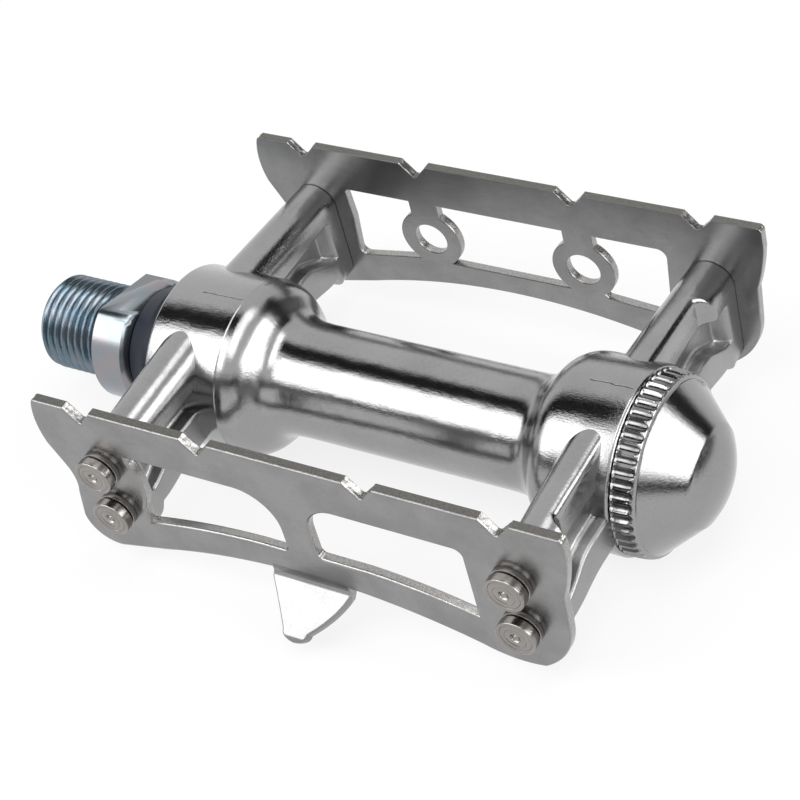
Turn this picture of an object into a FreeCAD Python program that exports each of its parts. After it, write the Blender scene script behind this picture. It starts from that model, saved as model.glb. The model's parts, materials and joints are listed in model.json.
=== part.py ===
import FreeCAD, Part
import math
import os
import re

import Sketcher

# Track pedal. Millimetres, +Z up. The spindle axis is X, and the origin lies on it at the face of the
# collar that seats on the crank. +X runs to the dust cap and the toothed cage edges point up.

VECTOR = FreeCAD.Vector

# Driving dimensions: alias, value, what it is.
DIMENSIONS = [
    ("thread_radius", 7.144, "crank thread, crest radius"),
    ("thread_length", 12.1, "crank thread, length past the collar"),
    ("thread_chamfer", 0.9, "lead-in at the thread end"),
    ("collar_radius", 9.4, "collar with the wrench flats"),
    ("collar_length", 6.1, "collar, along the axis"),
    ("collar_chamfer", 0.9, "collar edge on the side of the seal"),
    ("flats_across", 15.0, "wrench size"),
    ("flats_turn", 13.0, "turn of the flats about the axis, degrees"),
    ("neck_radius", 7.3, "spindle under the seal"),
    ("shoulder_land", 1.0, "land in front of the inner cone race"),
    ("mid_radius", 4.9, "spindle at its thin end"),
    ("end_thread_radius", 4.0, "outer spindle end, crest radius"),
    ("end_thread_play", 0.05, "radial play of what is turned on the outer end"),
    ("end_thread_lead", 2.3, "outer thread, from its start to the ball plane"),
    ("spindle_reach", 7.2, "outer end of the spindle, past the body"),
    ("ball_radius", 1.984, "bearing balls"),
    ("race_play", 0.05, "race radius over ball radius"),
    ("inner_ball_inset", 4.0, "plane of the inner ball ring, from the inner end face of the body"),
    ("inner_ball_circle", 8.4, "pitch radius of the inner ball ring"),
    ("inner_ball_count", 12, "balls in the inner ring"),
    ("outer_ball_inset", 4.3, "plane of the outer ball ring, from the outer end face of the body"),
    ("outer_ball_circle", 7.3, "pitch radius of the outer ball ring"),
    ("outer_ball_count", 11, "balls in the outer ring"),
    ("cup_wall", 0.95, "wall of a bearing cup over its race"),
    ("cup_back", 0.9, "wall behind the race"),
    ("cup_lip", 1.6, "cylindrical lip in front of the race"),
    ("cup_play", 0.02, "radial play of a cup in its seat"),
    ("cone_length", 5.3, "outer cone behind its ball plane"),
    ("cone_nose", 1.1, "outer cone in front of its ball plane"),
    ("washer_radius", 6.4, "lock washer"),
    ("washer_thickness", 1.0, "lock washer"),
    ("nut_across", 12.0, "lock nut wrench size"),
    ("nut_thickness", 3.9, "lock nut"),
    ("seal_gap", 0.25, "running gap between the collar and the seal"),
    ("seal_lip_radius", 8.4, "seal at its thin end"),
    ("seal_radius", 9.8, "seal at its thick end"),
    ("seal_cone_length", 3.3, "conical part of the seal"),
    ("seal_lip_play", 0.3, "radial gap of the seal lip on the neck"),
    ("seal_foot", 1.6, "foot of the seal in the cup seat"),
    ("seal_wall", 1.1, "wall of the seal"),
    ("knuckle_radius", 13.1, "both ends of the body"),
    ("knuckle_chamfer", 0.5, "edges of the end faces"),
    ("knuckle_start", 12.5, "inner end face of the body"),
    ("inner_knuckle_length", 12.4, "inner knuckle, to the step at its end"),
    ("step_height", 0.25, "height of that step"),
    ("barrel_radius", 8.3, "hub barrel"),
    ("inner_flare_length", 6.5, "inner flare, from the step to the barrel"),
    ("outer_flare_length", 7.2, "outer flare, from the barrel to the knuckle"),
    ("outer_knuckle_length", 9.2, "outer knuckle"),
    ("body_end", 86.8, "outer end face of the body"),
    ("barrel_bore", 6.4, "cored bore of the barrel, radius"),
    ("seat_ledge", 1.7, "ledge that a cup rests on"),
    ("core_taper", 8.5, "length over which the core narrows to the bore"),
    ("cap_bore", 11.6, "bore for the cap's spigot, radius"),
    ("cap_bore_depth", 2.4, "depth of that bore"),
    ("arm_span", 57.3, "over the arm pads, between the cage plates"),
    ("arm_top", 9.9, "crown of the arms at their pads"),
    ("arm_rise", 1.8, "rise of the crown from the pads to the middle plane"),
    ("arm_spread", 0.5, "draft of each side of an arm, from the pads to the middle plane"),
    ("pad_bottom", -7.6, "lower end of the arm pads"),
    ("pad_depth", 2.8, "thickness of the arm pads"),
    ("arm_underside", -3.4, "underside of the arms near the knuckles"),
    ("crank_arm_inset", 5.4, "centre of the inner arms, from the inner end face of the body"),
    ("crank_arm_width", 6.8, "inner arms"),
    ("cap_arm_inset", 3.7, "centre of the outer arms, from the outer end face of the body"),
    ("cap_arm_width", 7.0, "outer arms"),
    ("arm_web", 2.4, "web between the side pockets of an arm"),
    ("pocket_top", 5.2, "ceiling of the side pockets"),
    ("pocket_sill", -1.2, "lowest point of the side pockets"),
    ("pocket_sill_rise", 3.2, "rise of their sill towards the knuckle"),
    ("pocket_reach", 25.0, "outer end of the side pockets from the axis"),
    ("recess_depth", 1.9, "side recess of the outer arms"),
    ("recess_reach", 22.8, "outer end of that recess from the axis"),
    ("plate_thickness", 1.5, "cage plates"),
    ("plate_top", 17.45, "tops of the teeth"),
    ("plate_inner_reach", 8.8, "cage plates, past the centre of the inner arms"),
    ("plate_outer_reach", 8.7, "cage plates, past the centre of the outer arms"),
    ("plate_foot", -9.7, "lowest edge under the arms"),
    ("plate_waist", -4.15, "lower edge of the plates in mid-span"),
    ("notch_depth", 2.4, "notches between the teeth"),
    ("notch_half", 2.2, "half width of a notch at its top"),
    ("notch_root", 0.35, "rounding at the root of a notch"),
    ("clip_hole_radius", 2.65, "eyes of the front plate"),
    ("clip_hole_spacing", 25.4, "between the two eyes"),
    ("clip_hole_reach", 19.5, "first eye, from the centre of the inner arms"),
    ("clip_hole_height", 3.55, "eyes over the spindle axis"),
    ("clip_eye_radius", 5.0, "metal round an eye"),
    ("window_top", 10.25, "upper edge of the windows"),
    ("tab_width", 12.6, "bent tab of the rear plate"),
    ("tab_shift", 0.3, "middle of the tab, off the middle between the eyes towards the crank"),
    ("tab_angle", 54.0, "bend of the tab from the plate, degrees"),
    ("tab_length", 7.9, "straight part of the tab"),
    ("tab_bend", 1.0, "inside bend radius"),
    ("tab_tip", 1.6, "half width of the tab near its tip"),
    ("rivet_radius", 2.0, "rivet shank"),
    ("rivet_play", 0.05, "radial play of a rivet in its hole"),
    ("rivet_head_radius", 2.9, "rivet head flange"),
    ("rivet_disc_radius", 2.7, "upper tier of the head"),
    ("rivet_head_height", 2.4, "rivet head"),
    ("rivet_flange", 0.8, "thickness of the flange"),
    ("rivet_edge", 0.2, "edges of the upper tier"),
    ("rivet_spacing", 8.1, "between the rivets of a pad"),
    ("rivet_low", -1.05, "lower rivets over the spindle axis"),
    ("crank_rivet_shift", 0.8, "rivets of the inner arms, off their centre towards the cap"),
    ("cap_rivet_shift", 0.15, "rivets of the outer arms, off their centre towards the crank"),
    ("rivet_end_gap", 0.3, "room under the end of a rivet"),
    ("cap_band_radius", 12.75, "fluted band of the dust cap"),
    ("cap_band_length", 3.2, "fluted band"),
    ("cap_flutes", 50, "flutes round the band"),
    ("flute_depth", 0.35, "depth of a flute"),
    ("flute_radius", 0.55, "radius of a flute"),
    ("cap_wall", 1.3, "wall of the dust cap"),
    ("cap_cone_radius", 11.9, "cone behind the band"),
    ("cap_face_radius", 6.3, "edge of the end face"),
    ("cap_face_at", 9.0, "edge of the end face from the body"),
    ("cap_length", 10.8, "crown of the cap from the body"),
    ("spigot_play", 0.05, "radial play of the spigot"),
    ("spigot_wall", 1.0, "wall of the spigot"),
]

# Worked-out places and sizes, each an expression in the driving dimensions.
DERIVED = {
    "cage_half": "arm_span / 2",
    "cage_outer": "arm_span / 2 + plate_thickness",
    "inner_ball_at": "knuckle_start + inner_ball_inset",
    "outer_ball_at": "body_end - outer_ball_inset",
    "end_thread_start": "outer_ball_at - end_thread_lead",
    "spindle_end": "body_end + spindle_reach",
    "crank_arm_at": "knuckle_start + crank_arm_inset",
    "cap_arm_at": "body_end - cap_arm_inset",
    "plate_inner_end": "crank_arm_at - plate_inner_reach",
    "plate_outer_end": "cap_arm_at + plate_outer_reach",
    "clip_hole_at": "crank_arm_at + clip_hole_reach",
    "crank_rivet_at": "crank_arm_at + crank_rivet_shift",
    "cap_rivet_at": "cap_arm_at - cap_rivet_shift",
    "race_radius": "ball_radius + race_play",
    "inner_race_out": "inner_ball_circle + race_radius",
    "inner_race_in": "inner_ball_circle - race_radius",
    "outer_race_out": "outer_ball_circle + race_radius",
    "outer_race_in": "outer_ball_circle - race_radius",
    "inner_cup_radius": "inner_race_out + cup_wall",
    "outer_cup_radius": "outer_race_out + cup_wall",
    "inner_cup_front": "inner_ball_at - cup_lip",
    "inner_cup_end": "inner_ball_at + race_radius + cup_back",
    "outer_cup_front": "outer_ball_at + cup_lip",
    "outer_cup_end": "outer_ball_at - race_radius - cup_back",
    "cone_end": "outer_ball_at + cone_length",
    "washer_end": "cone_end + washer_thickness",
    "seal_start": "collar_length + seal_gap",
    "end_bore": "end_thread_radius + end_thread_play",
    "inner_step_at": "knuckle_start + inner_knuckle_length",
    "barrel_start": "inner_step_at + inner_flare_length",
    "outer_flare_end": "body_end - outer_knuckle_length",
    "barrel_end": "outer_flare_end - outer_flare_length",
    "flare_half": "(knuckle_radius + barrel_radius) / 2",
    "rivet_high": "rivet_low + rivet_spacing",
    "pin_depth": "plate_thickness + pad_depth",
    "cap_bore_floor": "body_end - cap_bore_depth",
    "spigot_radius": "cap_bore - spigot_play",
    "spigot_inner": "spigot_radius - spigot_wall",
    "band_end": "body_end + cap_band_length",
    "cap_face": "body_end + cap_face_at",
    "cap_end": "body_end + cap_length",
    "second_clip_at": "clip_hole_at + clip_hole_spacing",
    "middle_at": "clip_hole_at + clip_hole_spacing / 2",
    "tab_at": "middle_at - tab_shift",
    "dome_rise": "cap_length - cap_face_at",
    "dome_radius": "(cap_face_radius ^ 2 + dome_rise ^ 2) / (2 * dome_rise)",
}

doc = FreeCAD.newDocument("TrackPedal")
sizes = doc.addObject("Spreadsheet::Sheet", "Sizes")
for row, (alias, value, note) in enumerate(DIMENSIONS, start=1):
    sizes.set(f"A{row}", note)
    sizes.set(f"B{row}", str(value))
    sizes.setAlias(f"B{row}", alias)
doc.recompute()

ALIASES = re.compile(r"\b(" + "|".join(alias for alias, _, _ in DIMENSIONS) + r")\b")
WORKED_OUT = re.compile(r"\b(" + "|".join(DERIVED) + r")\b")


def formula(text):
    """Return an expression with its worked-out names expanded and its cells addressed."""
    text = str(text)
    while WORKED_OUT.search(text):
        text = WORKED_OUT.sub(lambda word: "(" + DERIVED[word.group(1)] + ")", text)
    return ALIASES.sub(r"Sizes.\1", text)


def bind(thing, path, text):
    """Bind a property of a document object to an expression."""
    thing.setExpression(path, formula(text))


def measure(text):
    """Return the present value of an expression."""
    return float(sizes.evalExpression(formula(text)))


class Corner:
    """One corner of an outline, sharp or rounded, with a straight or arched side to the next corner."""

    def __init__(self, across, up, radius=None, via=None):
        self.across = across
        self.up = up
        self.radius = radius
        self.via = via

    def point(self):
        return VECTOR(measure(self.across), measure(self.up), 0)


def new_body(label):
    """Return an empty body with its label."""
    body = doc.addObject("PartDesign::Body", label)
    body.Label = label
    return body


def new_sketch(body, name, role, offset="0", turn="0"):
    """Return a sketch on an origin plane of the body, moved along and turned about that plane's normal."""
    plane = next(item for item in body.Origin.OriginFeatures if item.Role == role)
    sketch = body.newObject("Sketcher::SketchObject", body.Label + "_" + name)
    sketch.AttachmentSupport = (plane, [""])
    sketch.MapMode = "FlatFace"
    bind(sketch, "AttachmentOffset.Base.z", offset)
    bind(sketch, "AttachmentOffset.Rotation.Angle", turn)
    return sketch


def fix_point(sketch, rules, names, geometry, end, across, up):
    """Hold one point of the sketch at bound coordinates."""
    place = VECTOR(measure(across), measure(up), 0)
    for kind, text, value in (("DistanceX", across, place.x), ("DistanceY", up, place.y)):
        names.append((sketch.ConstraintCount + len(rules), text))
        rules.append(Sketcher.Constraint(kind, -1, 1, geometry, end, value))


def round_corner(before, corner, after, radius):
    """Return the tangent points and the middle of the arc that rounds a corner."""
    back = (before - corner).normalize()
    ahead = (after - corner).normalize()
    half = math.acos(max(-1.0, min(1.0, back.dot(ahead)))) / 2
    reach = radius / math.tan(half)
    bisector = (back + ahead).normalize()
    middle = corner + bisector * (radius / math.sin(half) - radius)
    return corner + back * reach, middle, corner + ahead * reach


def add_arc(sketch, start, middle, end):
    """Add an arc and return its index with the ends that hold its start and its end."""
    index = sketch.addGeometry(Part.Arc(start, middle, end), False)
    first = sketch.getPoint(index, 1)
    return (index, 1, 2) if first.distanceToPoint(start) < 1e-6 else (index, 2, 1)


def draw(sketch, corners):
    """Draw one closed outline through bound corners and fix it fully."""
    points = [corner.point() for corner in corners]
    count = len(corners)
    starts = list(points)
    ends = list(points)
    middles = [None] * count
    for i, corner in enumerate(corners):
        if corner.radius is not None:
            cut = round_corner(points[i - 1], points[i], points[(i + 1) % count], measure(corner.radius))
            ends[i], middles[i], starts[i] = cut
    sides = []
    for i, corner in enumerate(corners):
        start, end = starts[i], ends[(i + 1) % count]
        if corner.via is None:
            sides.append((sketch.addGeometry(Part.LineSegment(start, end), False), 1, 2))
        else:
            middle = VECTOR(measure(corner.via[0]), measure(corner.via[1]), 0)
            sides.append(add_arc(sketch, start, middle, end))
    rules = []
    names = []
    for i, corner in enumerate(corners):
        before, after = sides[i - 1], sides[i]
        if corner.radius is None:
            rules.append(Sketcher.Constraint("Coincident", before[0], before[2], after[0], after[1]))
            fix_point(sketch, rules, names, after[0], after[1], corner.across, corner.up)
        else:
            arc = add_arc(sketch, ends[i], middles[i], starts[i])
            tip = sketch.addGeometry(Part.Point(points[i]), True)
            rules.append(Sketcher.Constraint("PointOnObject", tip, 1, before[0]))
            rules.append(Sketcher.Constraint("PointOnObject", tip, 1, after[0]))
            rules.append(Sketcher.Constraint("Tangent", before[0], before[2], arc[0], arc[1]))
            rules.append(Sketcher.Constraint("Tangent", arc[0], arc[2], after[0], after[1]))
            names.append((sketch.ConstraintCount + len(rules), corner.radius))
            rules.append(Sketcher.Constraint("Radius", arc[0], measure(corner.radius)))
            fix_point(sketch, rules, names, tip, 1, corner.across, corner.up)
        if corner.via is not None:
            via = VECTOR(measure(corner.via[0]), measure(corner.via[1]), 0)
            rest = sketch.addGeometry(Part.Point(via), True)
            rules.append(Sketcher.Constraint("PointOnObject", rest, 1, after[0]))
            fix_point(sketch, rules, names, rest, 1, corner.via[0], corner.via[1])
    sketch.addConstraint(rules)
    for index, text in names:
        bind(sketch, f"Constraints[{index}]", text)


def draw_circle(sketch, across, up, radius):
    """Draw one bound circle."""
    centre = VECTOR(measure(across), measure(up), 0)
    index = sketch.addGeometry(Part.Circle(centre, VECTOR(0, 0, 1), measure(radius)), False)
    rules = [Sketcher.Constraint("Radius", index, measure(radius))]
    names = [(sketch.ConstraintCount, radius)]
    fix_point(sketch, rules, names, index, 3, across, up)
    sketch.addConstraint(rules)
    for rule, text in names:
        bind(sketch, f"Constraints[{rule}]", text)


def pad(body, sketch, length, symmetric=False):
    """Pad a sketch along its normal."""
    feature = body.newObject("PartDesign::Pad", sketch.Name + "_pad")
    feature.Profile = sketch
    feature.SideType = "Symmetric" if symmetric else "One side"
    bind(feature, "Length", length)
    return feature


def pocket(body, sketch, depth=None, reversed_cut=False):
    """Cut a sketch against its normal, or both ways through everything if no depth is given."""
    feature = body.newObject("PartDesign::Pocket", sketch.Name + "_pocket")
    feature.Profile = sketch
    if depth is None:
        feature.Type = "ThroughAll"
        feature.SideType = "Symmetric"
    else:
        bind(feature, "Length", depth)
        feature.Reversed = reversed_cut
    return feature


def spin(body, sketch, kind="PartDesign::Revolution"):
    """Turn a sketch once round its own horizontal axis."""
    feature = body.newObject(kind, sketch.Name + "_turn")
    feature.Profile = sketch
    feature.ReferenceAxis = (sketch, ["H_Axis"])
    feature.Angle = 360
    return feature


def turned(label, corners):
    """Return a body turned round the spindle axis from corners of (place along it, radius)."""
    body = new_body(label)
    sketch = new_sketch(body, "profile", "XZ_Plane")
    draw(sketch, corners)
    spin(body, sketch)
    return body


def on_race(ball_at, circle, angle):
    """Return the two coordinates of a point on a race, at an angle from +X towards the outside."""
    across = f"{ball_at} + race_radius * cos({angle} deg)"
    up = f"{circle} + race_radius * sin({angle} deg)"
    return across, up


def make_spindle():
    """Spindle: crank thread, collar with two flats, neck, inner cone race, taper and outer thread."""
    shoulder = on_race("inner_ball_at", "inner_ball_circle", 190)
    mid = on_race("inner_ball_at", "inner_ball_circle", 230)
    body = turned("spindle", [
        Corner("-thread_length", "0"),
        Corner("-thread_length", "thread_radius - thread_chamfer"),
        Corner("-thread_length + thread_chamfer", "thread_radius"),
        Corner("0", "thread_radius"),
        Corner("0", "collar_radius"),
        Corner("collar_length - collar_chamfer", "collar_radius"),
        Corner("collar_length", "collar_radius - collar_chamfer"),
        Corner("collar_length", "neck_radius"),
        Corner(shoulder[0] + " - shoulder_land", "neck_radius"),
        Corner(shoulder[0] + " - shoulder_land", shoulder[1]),
        Corner(shoulder[0], shoulder[1], via=mid),
        Corner("inner_ball_at", "inner_race_in"),
        Corner("inner_cup_end", "inner_race_in"),
        Corner("end_thread_start - core_taper", "mid_radius"),
        Corner("end_thread_start", "mid_radius"),
        Corner("end_thread_start", "end_thread_radius"),
        Corner("spindle_end", "end_thread_radius"),
        Corner("spindle_end", "0"),
    ])
    flats = new_sketch(body, "flats", "YZ_Plane", turn="-flats_turn")
    for side in ("", "-"):
        draw(flats, [
            Corner("-collar_radius", f"{side}flats_across / 2"),
            Corner("collar_radius", f"{side}flats_across / 2"),
            Corner("collar_radius", f"{side}(collar_radius + 1)"),
            Corner("-collar_radius", f"{side}(collar_radius + 1)"),
        ])
    pocket(body, flats, "collar_length", reversed_cut=True)
    return body


def make_inner_cup():
    """Inner bearing cup, pressed against the ledge of its seat."""
    low = on_race("inner_ball_at", "inner_ball_circle", -20)
    mid = on_race("inner_ball_at", "inner_ball_circle", 40)
    return turned("inner_bearing_cup", [
        Corner("inner_cup_front", "inner_race_out"),
        Corner("inner_ball_at", "inner_race_out", via=mid),
        Corner(*low),
        Corner("inner_cup_end", low[1]),
        Corner("inner_cup_end", "inner_cup_radius - cup_play"),
        Corner("inner_cup_front", "inner_cup_radius - cup_play"),
    ])


def make_outer_cup():
    """Outer bearing cup, the other way round."""
    low = on_race("outer_ball_at", "outer_ball_circle", 200)
    mid = on_race("outer_ball_at", "outer_ball_circle", 140)
    return turned("outer_bearing_cup", [
        Corner("outer_cup_front", "outer_race_out"),
        Corner("outer_cup_front", "outer_cup_radius - cup_play"),
        Corner("outer_cup_end", "outer_cup_radius - cup_play"),
        Corner("outer_cup_end", low[1]),
        Corner(low[0], low[1], via=mid),
        Corner("outer_ball_at", "outer_race_out"),
    ])


def make_outer_cone():
    """Adjustable cone on the outer thread."""
    high = on_race("outer_ball_at", "outer_ball_circle", -10)
    mid = on_race("outer_ball_at", "outer_ball_circle", -50)
    return turned("outer_cone", [
        Corner("outer_ball_at - cone_nose", "end_bore"),
        Corner("outer_ball_at - cone_nose", "outer_race_in"),
        Corner("outer_ball_at", "outer_race_in", via=mid),
        Corner(*high),
        Corner("cone_end", high[1]),
        Corner("cone_end", "end_bore"),
    ])


def make_washer():
    """Lock washer between the cone and its nut."""
    return turned("lock_washer", [
        Corner("cone_end", "end_bore"),
        Corner("washer_end", "end_bore"),
        Corner("washer_end", "washer_radius"),
        Corner("cone_end", "washer_radius"),
    ])


def make_nut():
    """Hexagonal lock nut."""
    body = new_body("lock_nut")
    sketch = new_sketch(body, "hexagon", "YZ_Plane", offset="washer_end")
    corner_radius = "nut_across / 2 / cos(30 deg)"
    draw(sketch, [
        Corner(f"{corner_radius} * cos({60 * i} deg)", f"{corner_radius} * sin({60 * i} deg)")
        for i in range(6)
    ])
    pad(body, sketch, "nut_thickness")
    hole = new_sketch(body, "hole", "YZ_Plane", offset="washer_end")
    draw_circle(hole, "0", "0", "end_bore")
    pocket(body, hole)
    return body


def make_seal():
    """Rubber seal: a conical lip towards the collar and a foot in front of the inner cup."""
    return turned("dust_seal", [
        Corner("seal_start", "neck_radius + seal_lip_play"),
        Corner("seal_start", "seal_lip_radius"),
        Corner("seal_start + seal_cone_length", "seal_radius"),
        Corner("inner_cup_front - seal_foot", "seal_radius"),
        Corner("inner_cup_front - seal_foot", "inner_cup_radius - cup_play"),
        Corner("inner_cup_front", "inner_cup_radius - cup_play"),
        Corner("inner_cup_front", "inner_race_out"),
        Corner("inner_cup_front - seal_foot / 2", "inner_race_out"),
        Corner("inner_cup_front - seal_foot / 2", "seal_radius - seal_wall"),
        Corner("seal_start + seal_cone_length", "seal_radius - seal_wall"),
        Corner("seal_start + seal_cone_length / 2", "neck_radius + seal_lip_play"),
    ])


def make_balls(prefix, count, ball_at, circle):
    """One ring of loose balls, each a sphere with its own place."""
    balls = []
    for i in range(int(measure(count))):
        ball = doc.addObject("Part::Sphere", f"{prefix}_{i + 1:02d}")
        ball.Label = f"{prefix}_{i + 1:02d}"
        bind(ball, "Radius", "ball_radius")
        bind(ball, "Placement.Base.x", ball_at)
        bind(ball, "Placement.Base.y", f"{circle} * cos({i} * 360 deg / {count})")
        bind(ball, "Placement.Base.z", f"{circle} * sin({i} * 360 deg / {count})")
        balls.append(ball)
    return balls


def arm_section(arm_at, width, top):
    """Section of an arm: straight sides between two round ends, down to the foot of its pads."""
    crown = f"{top} - ({width}) / 2"
    foot = f"pad_bottom + ({width}) / 2"
    left, right = f"{arm_at} - ({width}) / 2", f"{arm_at} + ({width}) / 2"
    return [
        Corner(right, crown, via=(arm_at, top)),
        Corner(left, crown),
        Corner(left, foot, via=(arm_at, "pad_bottom")),
        Corner(right, foot),
    ]


def make_arms(body, name, arm_at, width):
    """Two arms in one line, thickest in the middle plane and drafted down to their pads."""
    sections = []
    for place, offset, spread, rise in (("front", "-cage_half", "0", "0"),
                                        ("middle", "0", "2 * arm_spread", "arm_rise"),
                                        ("rear", "cage_half", "0", "0")):
        section = new_sketch(body, f"{name}_{place}", "XZ_Plane", offset=offset)
        draw(section, arm_section(arm_at, f"{width} + {spread}", f"arm_top + {rise}"))
        sections.append(section)
    arms = body.newObject("PartDesign::AdditiveLoft", f"{name}_arms")
    arms.Profile = sections[0]
    arms.Sections = sections[1:]
    arms.Ruled = True


def side_pocket(sign):
    """Outline of one side pocket on the arm towards +Y or -Y, open to the knuckle."""
    inner = "barrel_radius"
    return [
        Corner(f"{sign}pocket_reach", "pocket_sill", "0.8"),
        Corner(f"{sign}(pocket_reach + 0.8)", "pocket_top", "0.8"),
        Corner(f"{sign}{inner}", "pocket_top"),
        Corner(f"{sign}{inner}", "pocket_sill + pocket_sill_rise"),
        Corner(f"{sign}(knuckle_radius + 5)", "pocket_sill + pocket_sill_rise", "1.5"),
    ]


def make_body():
    """Pedal body: one casting with barrel, flared knuckles and four arms with pads."""
    body = new_body("pedal_body")
    body.AllowCompound = True

    make_arms(body, "crank", "crank_arm_at", "crank_arm_width")
    make_arms(body, "cap", "cap_arm_at", "cap_arm_width")

    under = new_sketch(body, "underside", "YZ_Plane")
    draw(under, [
        Corner("cage_half - pad_depth", "pad_bottom - 1"),
        Corner("cage_half - pad_depth", "pad_bottom + 1", "0.8"),
        Corner("cage_half - pad_depth - 2.4", "arm_underside - 1.3", "2"),
        Corner("knuckle_radius + 4.5", "arm_underside", "8"),
        Corner("-(knuckle_radius + 4.5)", "arm_underside", "8"),
        Corner("-(cage_half - pad_depth - 2.4)", "arm_underside - 1.3", "2"),
        Corner("-(cage_half - pad_depth)", "pad_bottom + 1", "0.8"),
        Corner("-(cage_half - pad_depth)", "pad_bottom - 1"),
    ])
    pocket(body, under)

    recess = new_sketch(body, "recess", "YZ_Plane", offset="cap_arm_at + cap_arm_width / 2 + arm_spread")
    for sign in ("", "-"):
        draw(recess, [
            Corner(f"{sign}barrel_radius", "pad_bottom - 1"),
            Corner(f"{sign}recess_reach", "pad_bottom - 1"),
            Corner(f"{sign}recess_reach", "arm_top - 4", "2"),
            Corner(f"{sign}(recess_reach - 2)", "arm_top + arm_rise"),
            Corner(f"{sign}barrel_radius", "arm_top + arm_rise"),
        ])
    pocket(body, recess, "recess_depth + arm_spread")

    for name, arm_at, width in (("crank", "crank_arm_at", "crank_arm_width"),
                                ("cap", "cap_arm_at", "cap_arm_width")):
        for side, face in (("right", "+"), ("left", "-")):
            offset = f"{arm_at} {face} ({width} / 2 + arm_spread)"
            hollow = new_sketch(body, f"{name}_{side}", "YZ_Plane", offset=offset)
            for sign in ("", "-"):
                draw(hollow, side_pocket(sign))
            depth = f"({width} - arm_web) / 2 + arm_spread"
            pocket(body, hollow, depth, reversed_cut=face == "-")

    hub = new_sketch(body, "hub", "XZ_Plane")
    draw(hub, [
        Corner("knuckle_start", "0"),
        Corner("knuckle_start", "knuckle_radius - knuckle_chamfer"),
        Corner("knuckle_start + knuckle_chamfer", "knuckle_radius"),
        Corner("inner_step_at", "knuckle_radius"),
        Corner("inner_step_at", "knuckle_radius - step_height",
               via=("inner_step_at + 2.4", "knuckle_radius - 0.95")),
        Corner("inner_step_at + 4.0", "flare_half", via=("barrel_start - 1.5", "barrel_radius + 0.8")),
        Corner("barrel_start", "barrel_radius"),
        Corner("barrel_end", "barrel_radius", via=("barrel_end + 2.2", "barrel_radius + 1.1")),
        Corner("barrel_end + 3.9", "flare_half + 0.9",
               via=("barrel_end + 5.4", "knuckle_radius - 0.4")),
        Corner("outer_flare_end", "knuckle_radius"),
        Corner("body_end - knuckle_chamfer", "knuckle_radius"),
        Corner("body_end", "knuckle_radius - knuckle_chamfer / 2"),
        Corner("body_end", "0"),
    ])
    spin(body, hub)

    bore = new_sketch(body, "bore", "XZ_Plane")
    draw(bore, [
        Corner("knuckle_start - 1", "0"),
        Corner("knuckle_start - 1", "inner_cup_radius"),
        Corner("inner_cup_end", "inner_cup_radius"),
        Corner("inner_cup_end", "inner_cup_radius - seat_ledge"),
        Corner("inner_cup_end + core_taper", "barrel_bore"),
        Corner("outer_cup_end - core_taper", "barrel_bore"),
        Corner("outer_cup_end", "outer_cup_radius - seat_ledge"),
        Corner("outer_cup_end", "outer_cup_radius"),
        Corner("cap_bore_floor", "outer_cup_radius"),
        Corner("cap_bore_floor", "cap_bore"),
        Corner("body_end + 1", "cap_bore"),
        Corner("body_end + 1", "0"),
    ])
    spin(body, bore, "PartDesign::Groove")

    for name, offset, away in (("rear", "cage_half", False), ("front", "-cage_half", True)):
        holes = new_sketch(body, f"{name}_rivets", "XZ_Plane", offset=offset)
        for across in ("crank_rivet_at", "cap_rivet_at"):
            for up in ("rivet_low", "rivet_high"):
                draw_circle(holes, across, up, "rivet_radius + rivet_play")
        pocket(body, holes, "pad_depth + rivet_end_gap", reversed_cut=away)
    return body


def notch(at):
    """One notch between two teeth."""
    return [
        Corner(f"{at} - notch_half", "plate_top"),
        Corner(at, "plate_top - notch_depth", "notch_root"),
        Corner(f"{at} + notch_half", "plate_top"),
    ]


def plate_outline():
    """Outline that both cage plates share."""
    inner, outer = "plate_inner_end", "plate_outer_end"
    low = "plate_foot + 2"
    corners = [Corner(f"{inner} + 0.9", "plate_top", "0.8")]
    for at in ("crank_arm_at - 0.1", "clip_hole_at - 0.1", "second_clip_at - 0.1", "cap_arm_at - 0.8"):
        corners += notch(at)
    corners += [
        Corner(outer, "plate_top", "0.7"),
        Corner(outer, "plate_top - 3.4", via=(f"{outer} - 0.7", "plate_top - 7.4")),
        Corner(f"{outer} - 1.7", "plate_top - 11", via=(f"{outer} - 1.85", "plate_top - 14.4")),
        Corner(f"{outer} - 2", "plate_top - 17.2", via=(f"{outer} - 3.5", "plate_foot + 5")),
        Corner("cap_arm_at + 1.7", "plate_foot + 1.2", via=("cap_arm_at - 1.6", "plate_foot + 0.85")),
        Corner("cap_arm_at - 7.6", low, via=("middle_at - 0.1", "plate_waist")),
        Corner("crank_arm_at + 6.9", low),
        Corner(f"{inner} + 7.1", "plate_foot", via=(f"{inner} + 3.1", "plate_foot + 1.4")),
        Corner(f"{inner} + 1.7", "plate_foot + 4.7"),
        Corner(f"{inner} + 2.6", "plate_top - 17.4", via=(f"{inner} + 3", "plate_top - 14.7")),
        Corner(f"{inner} + 2.3", "plate_top - 12.1"),
        Corner(f"{inner} + 0.5", "plate_top - 8.4", via=(inner, "plate_top - 4.6")),
    ]
    return corners


def eye_neck(eye, side):
    """Where the rim of an eye meets the neck above it, on the side towards +X or -X."""
    return f"{eye} {side} 2.4", "clip_hole_height + sqrt(clip_eye_radius ^ 2 - 2.4 ^ 2)"


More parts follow.
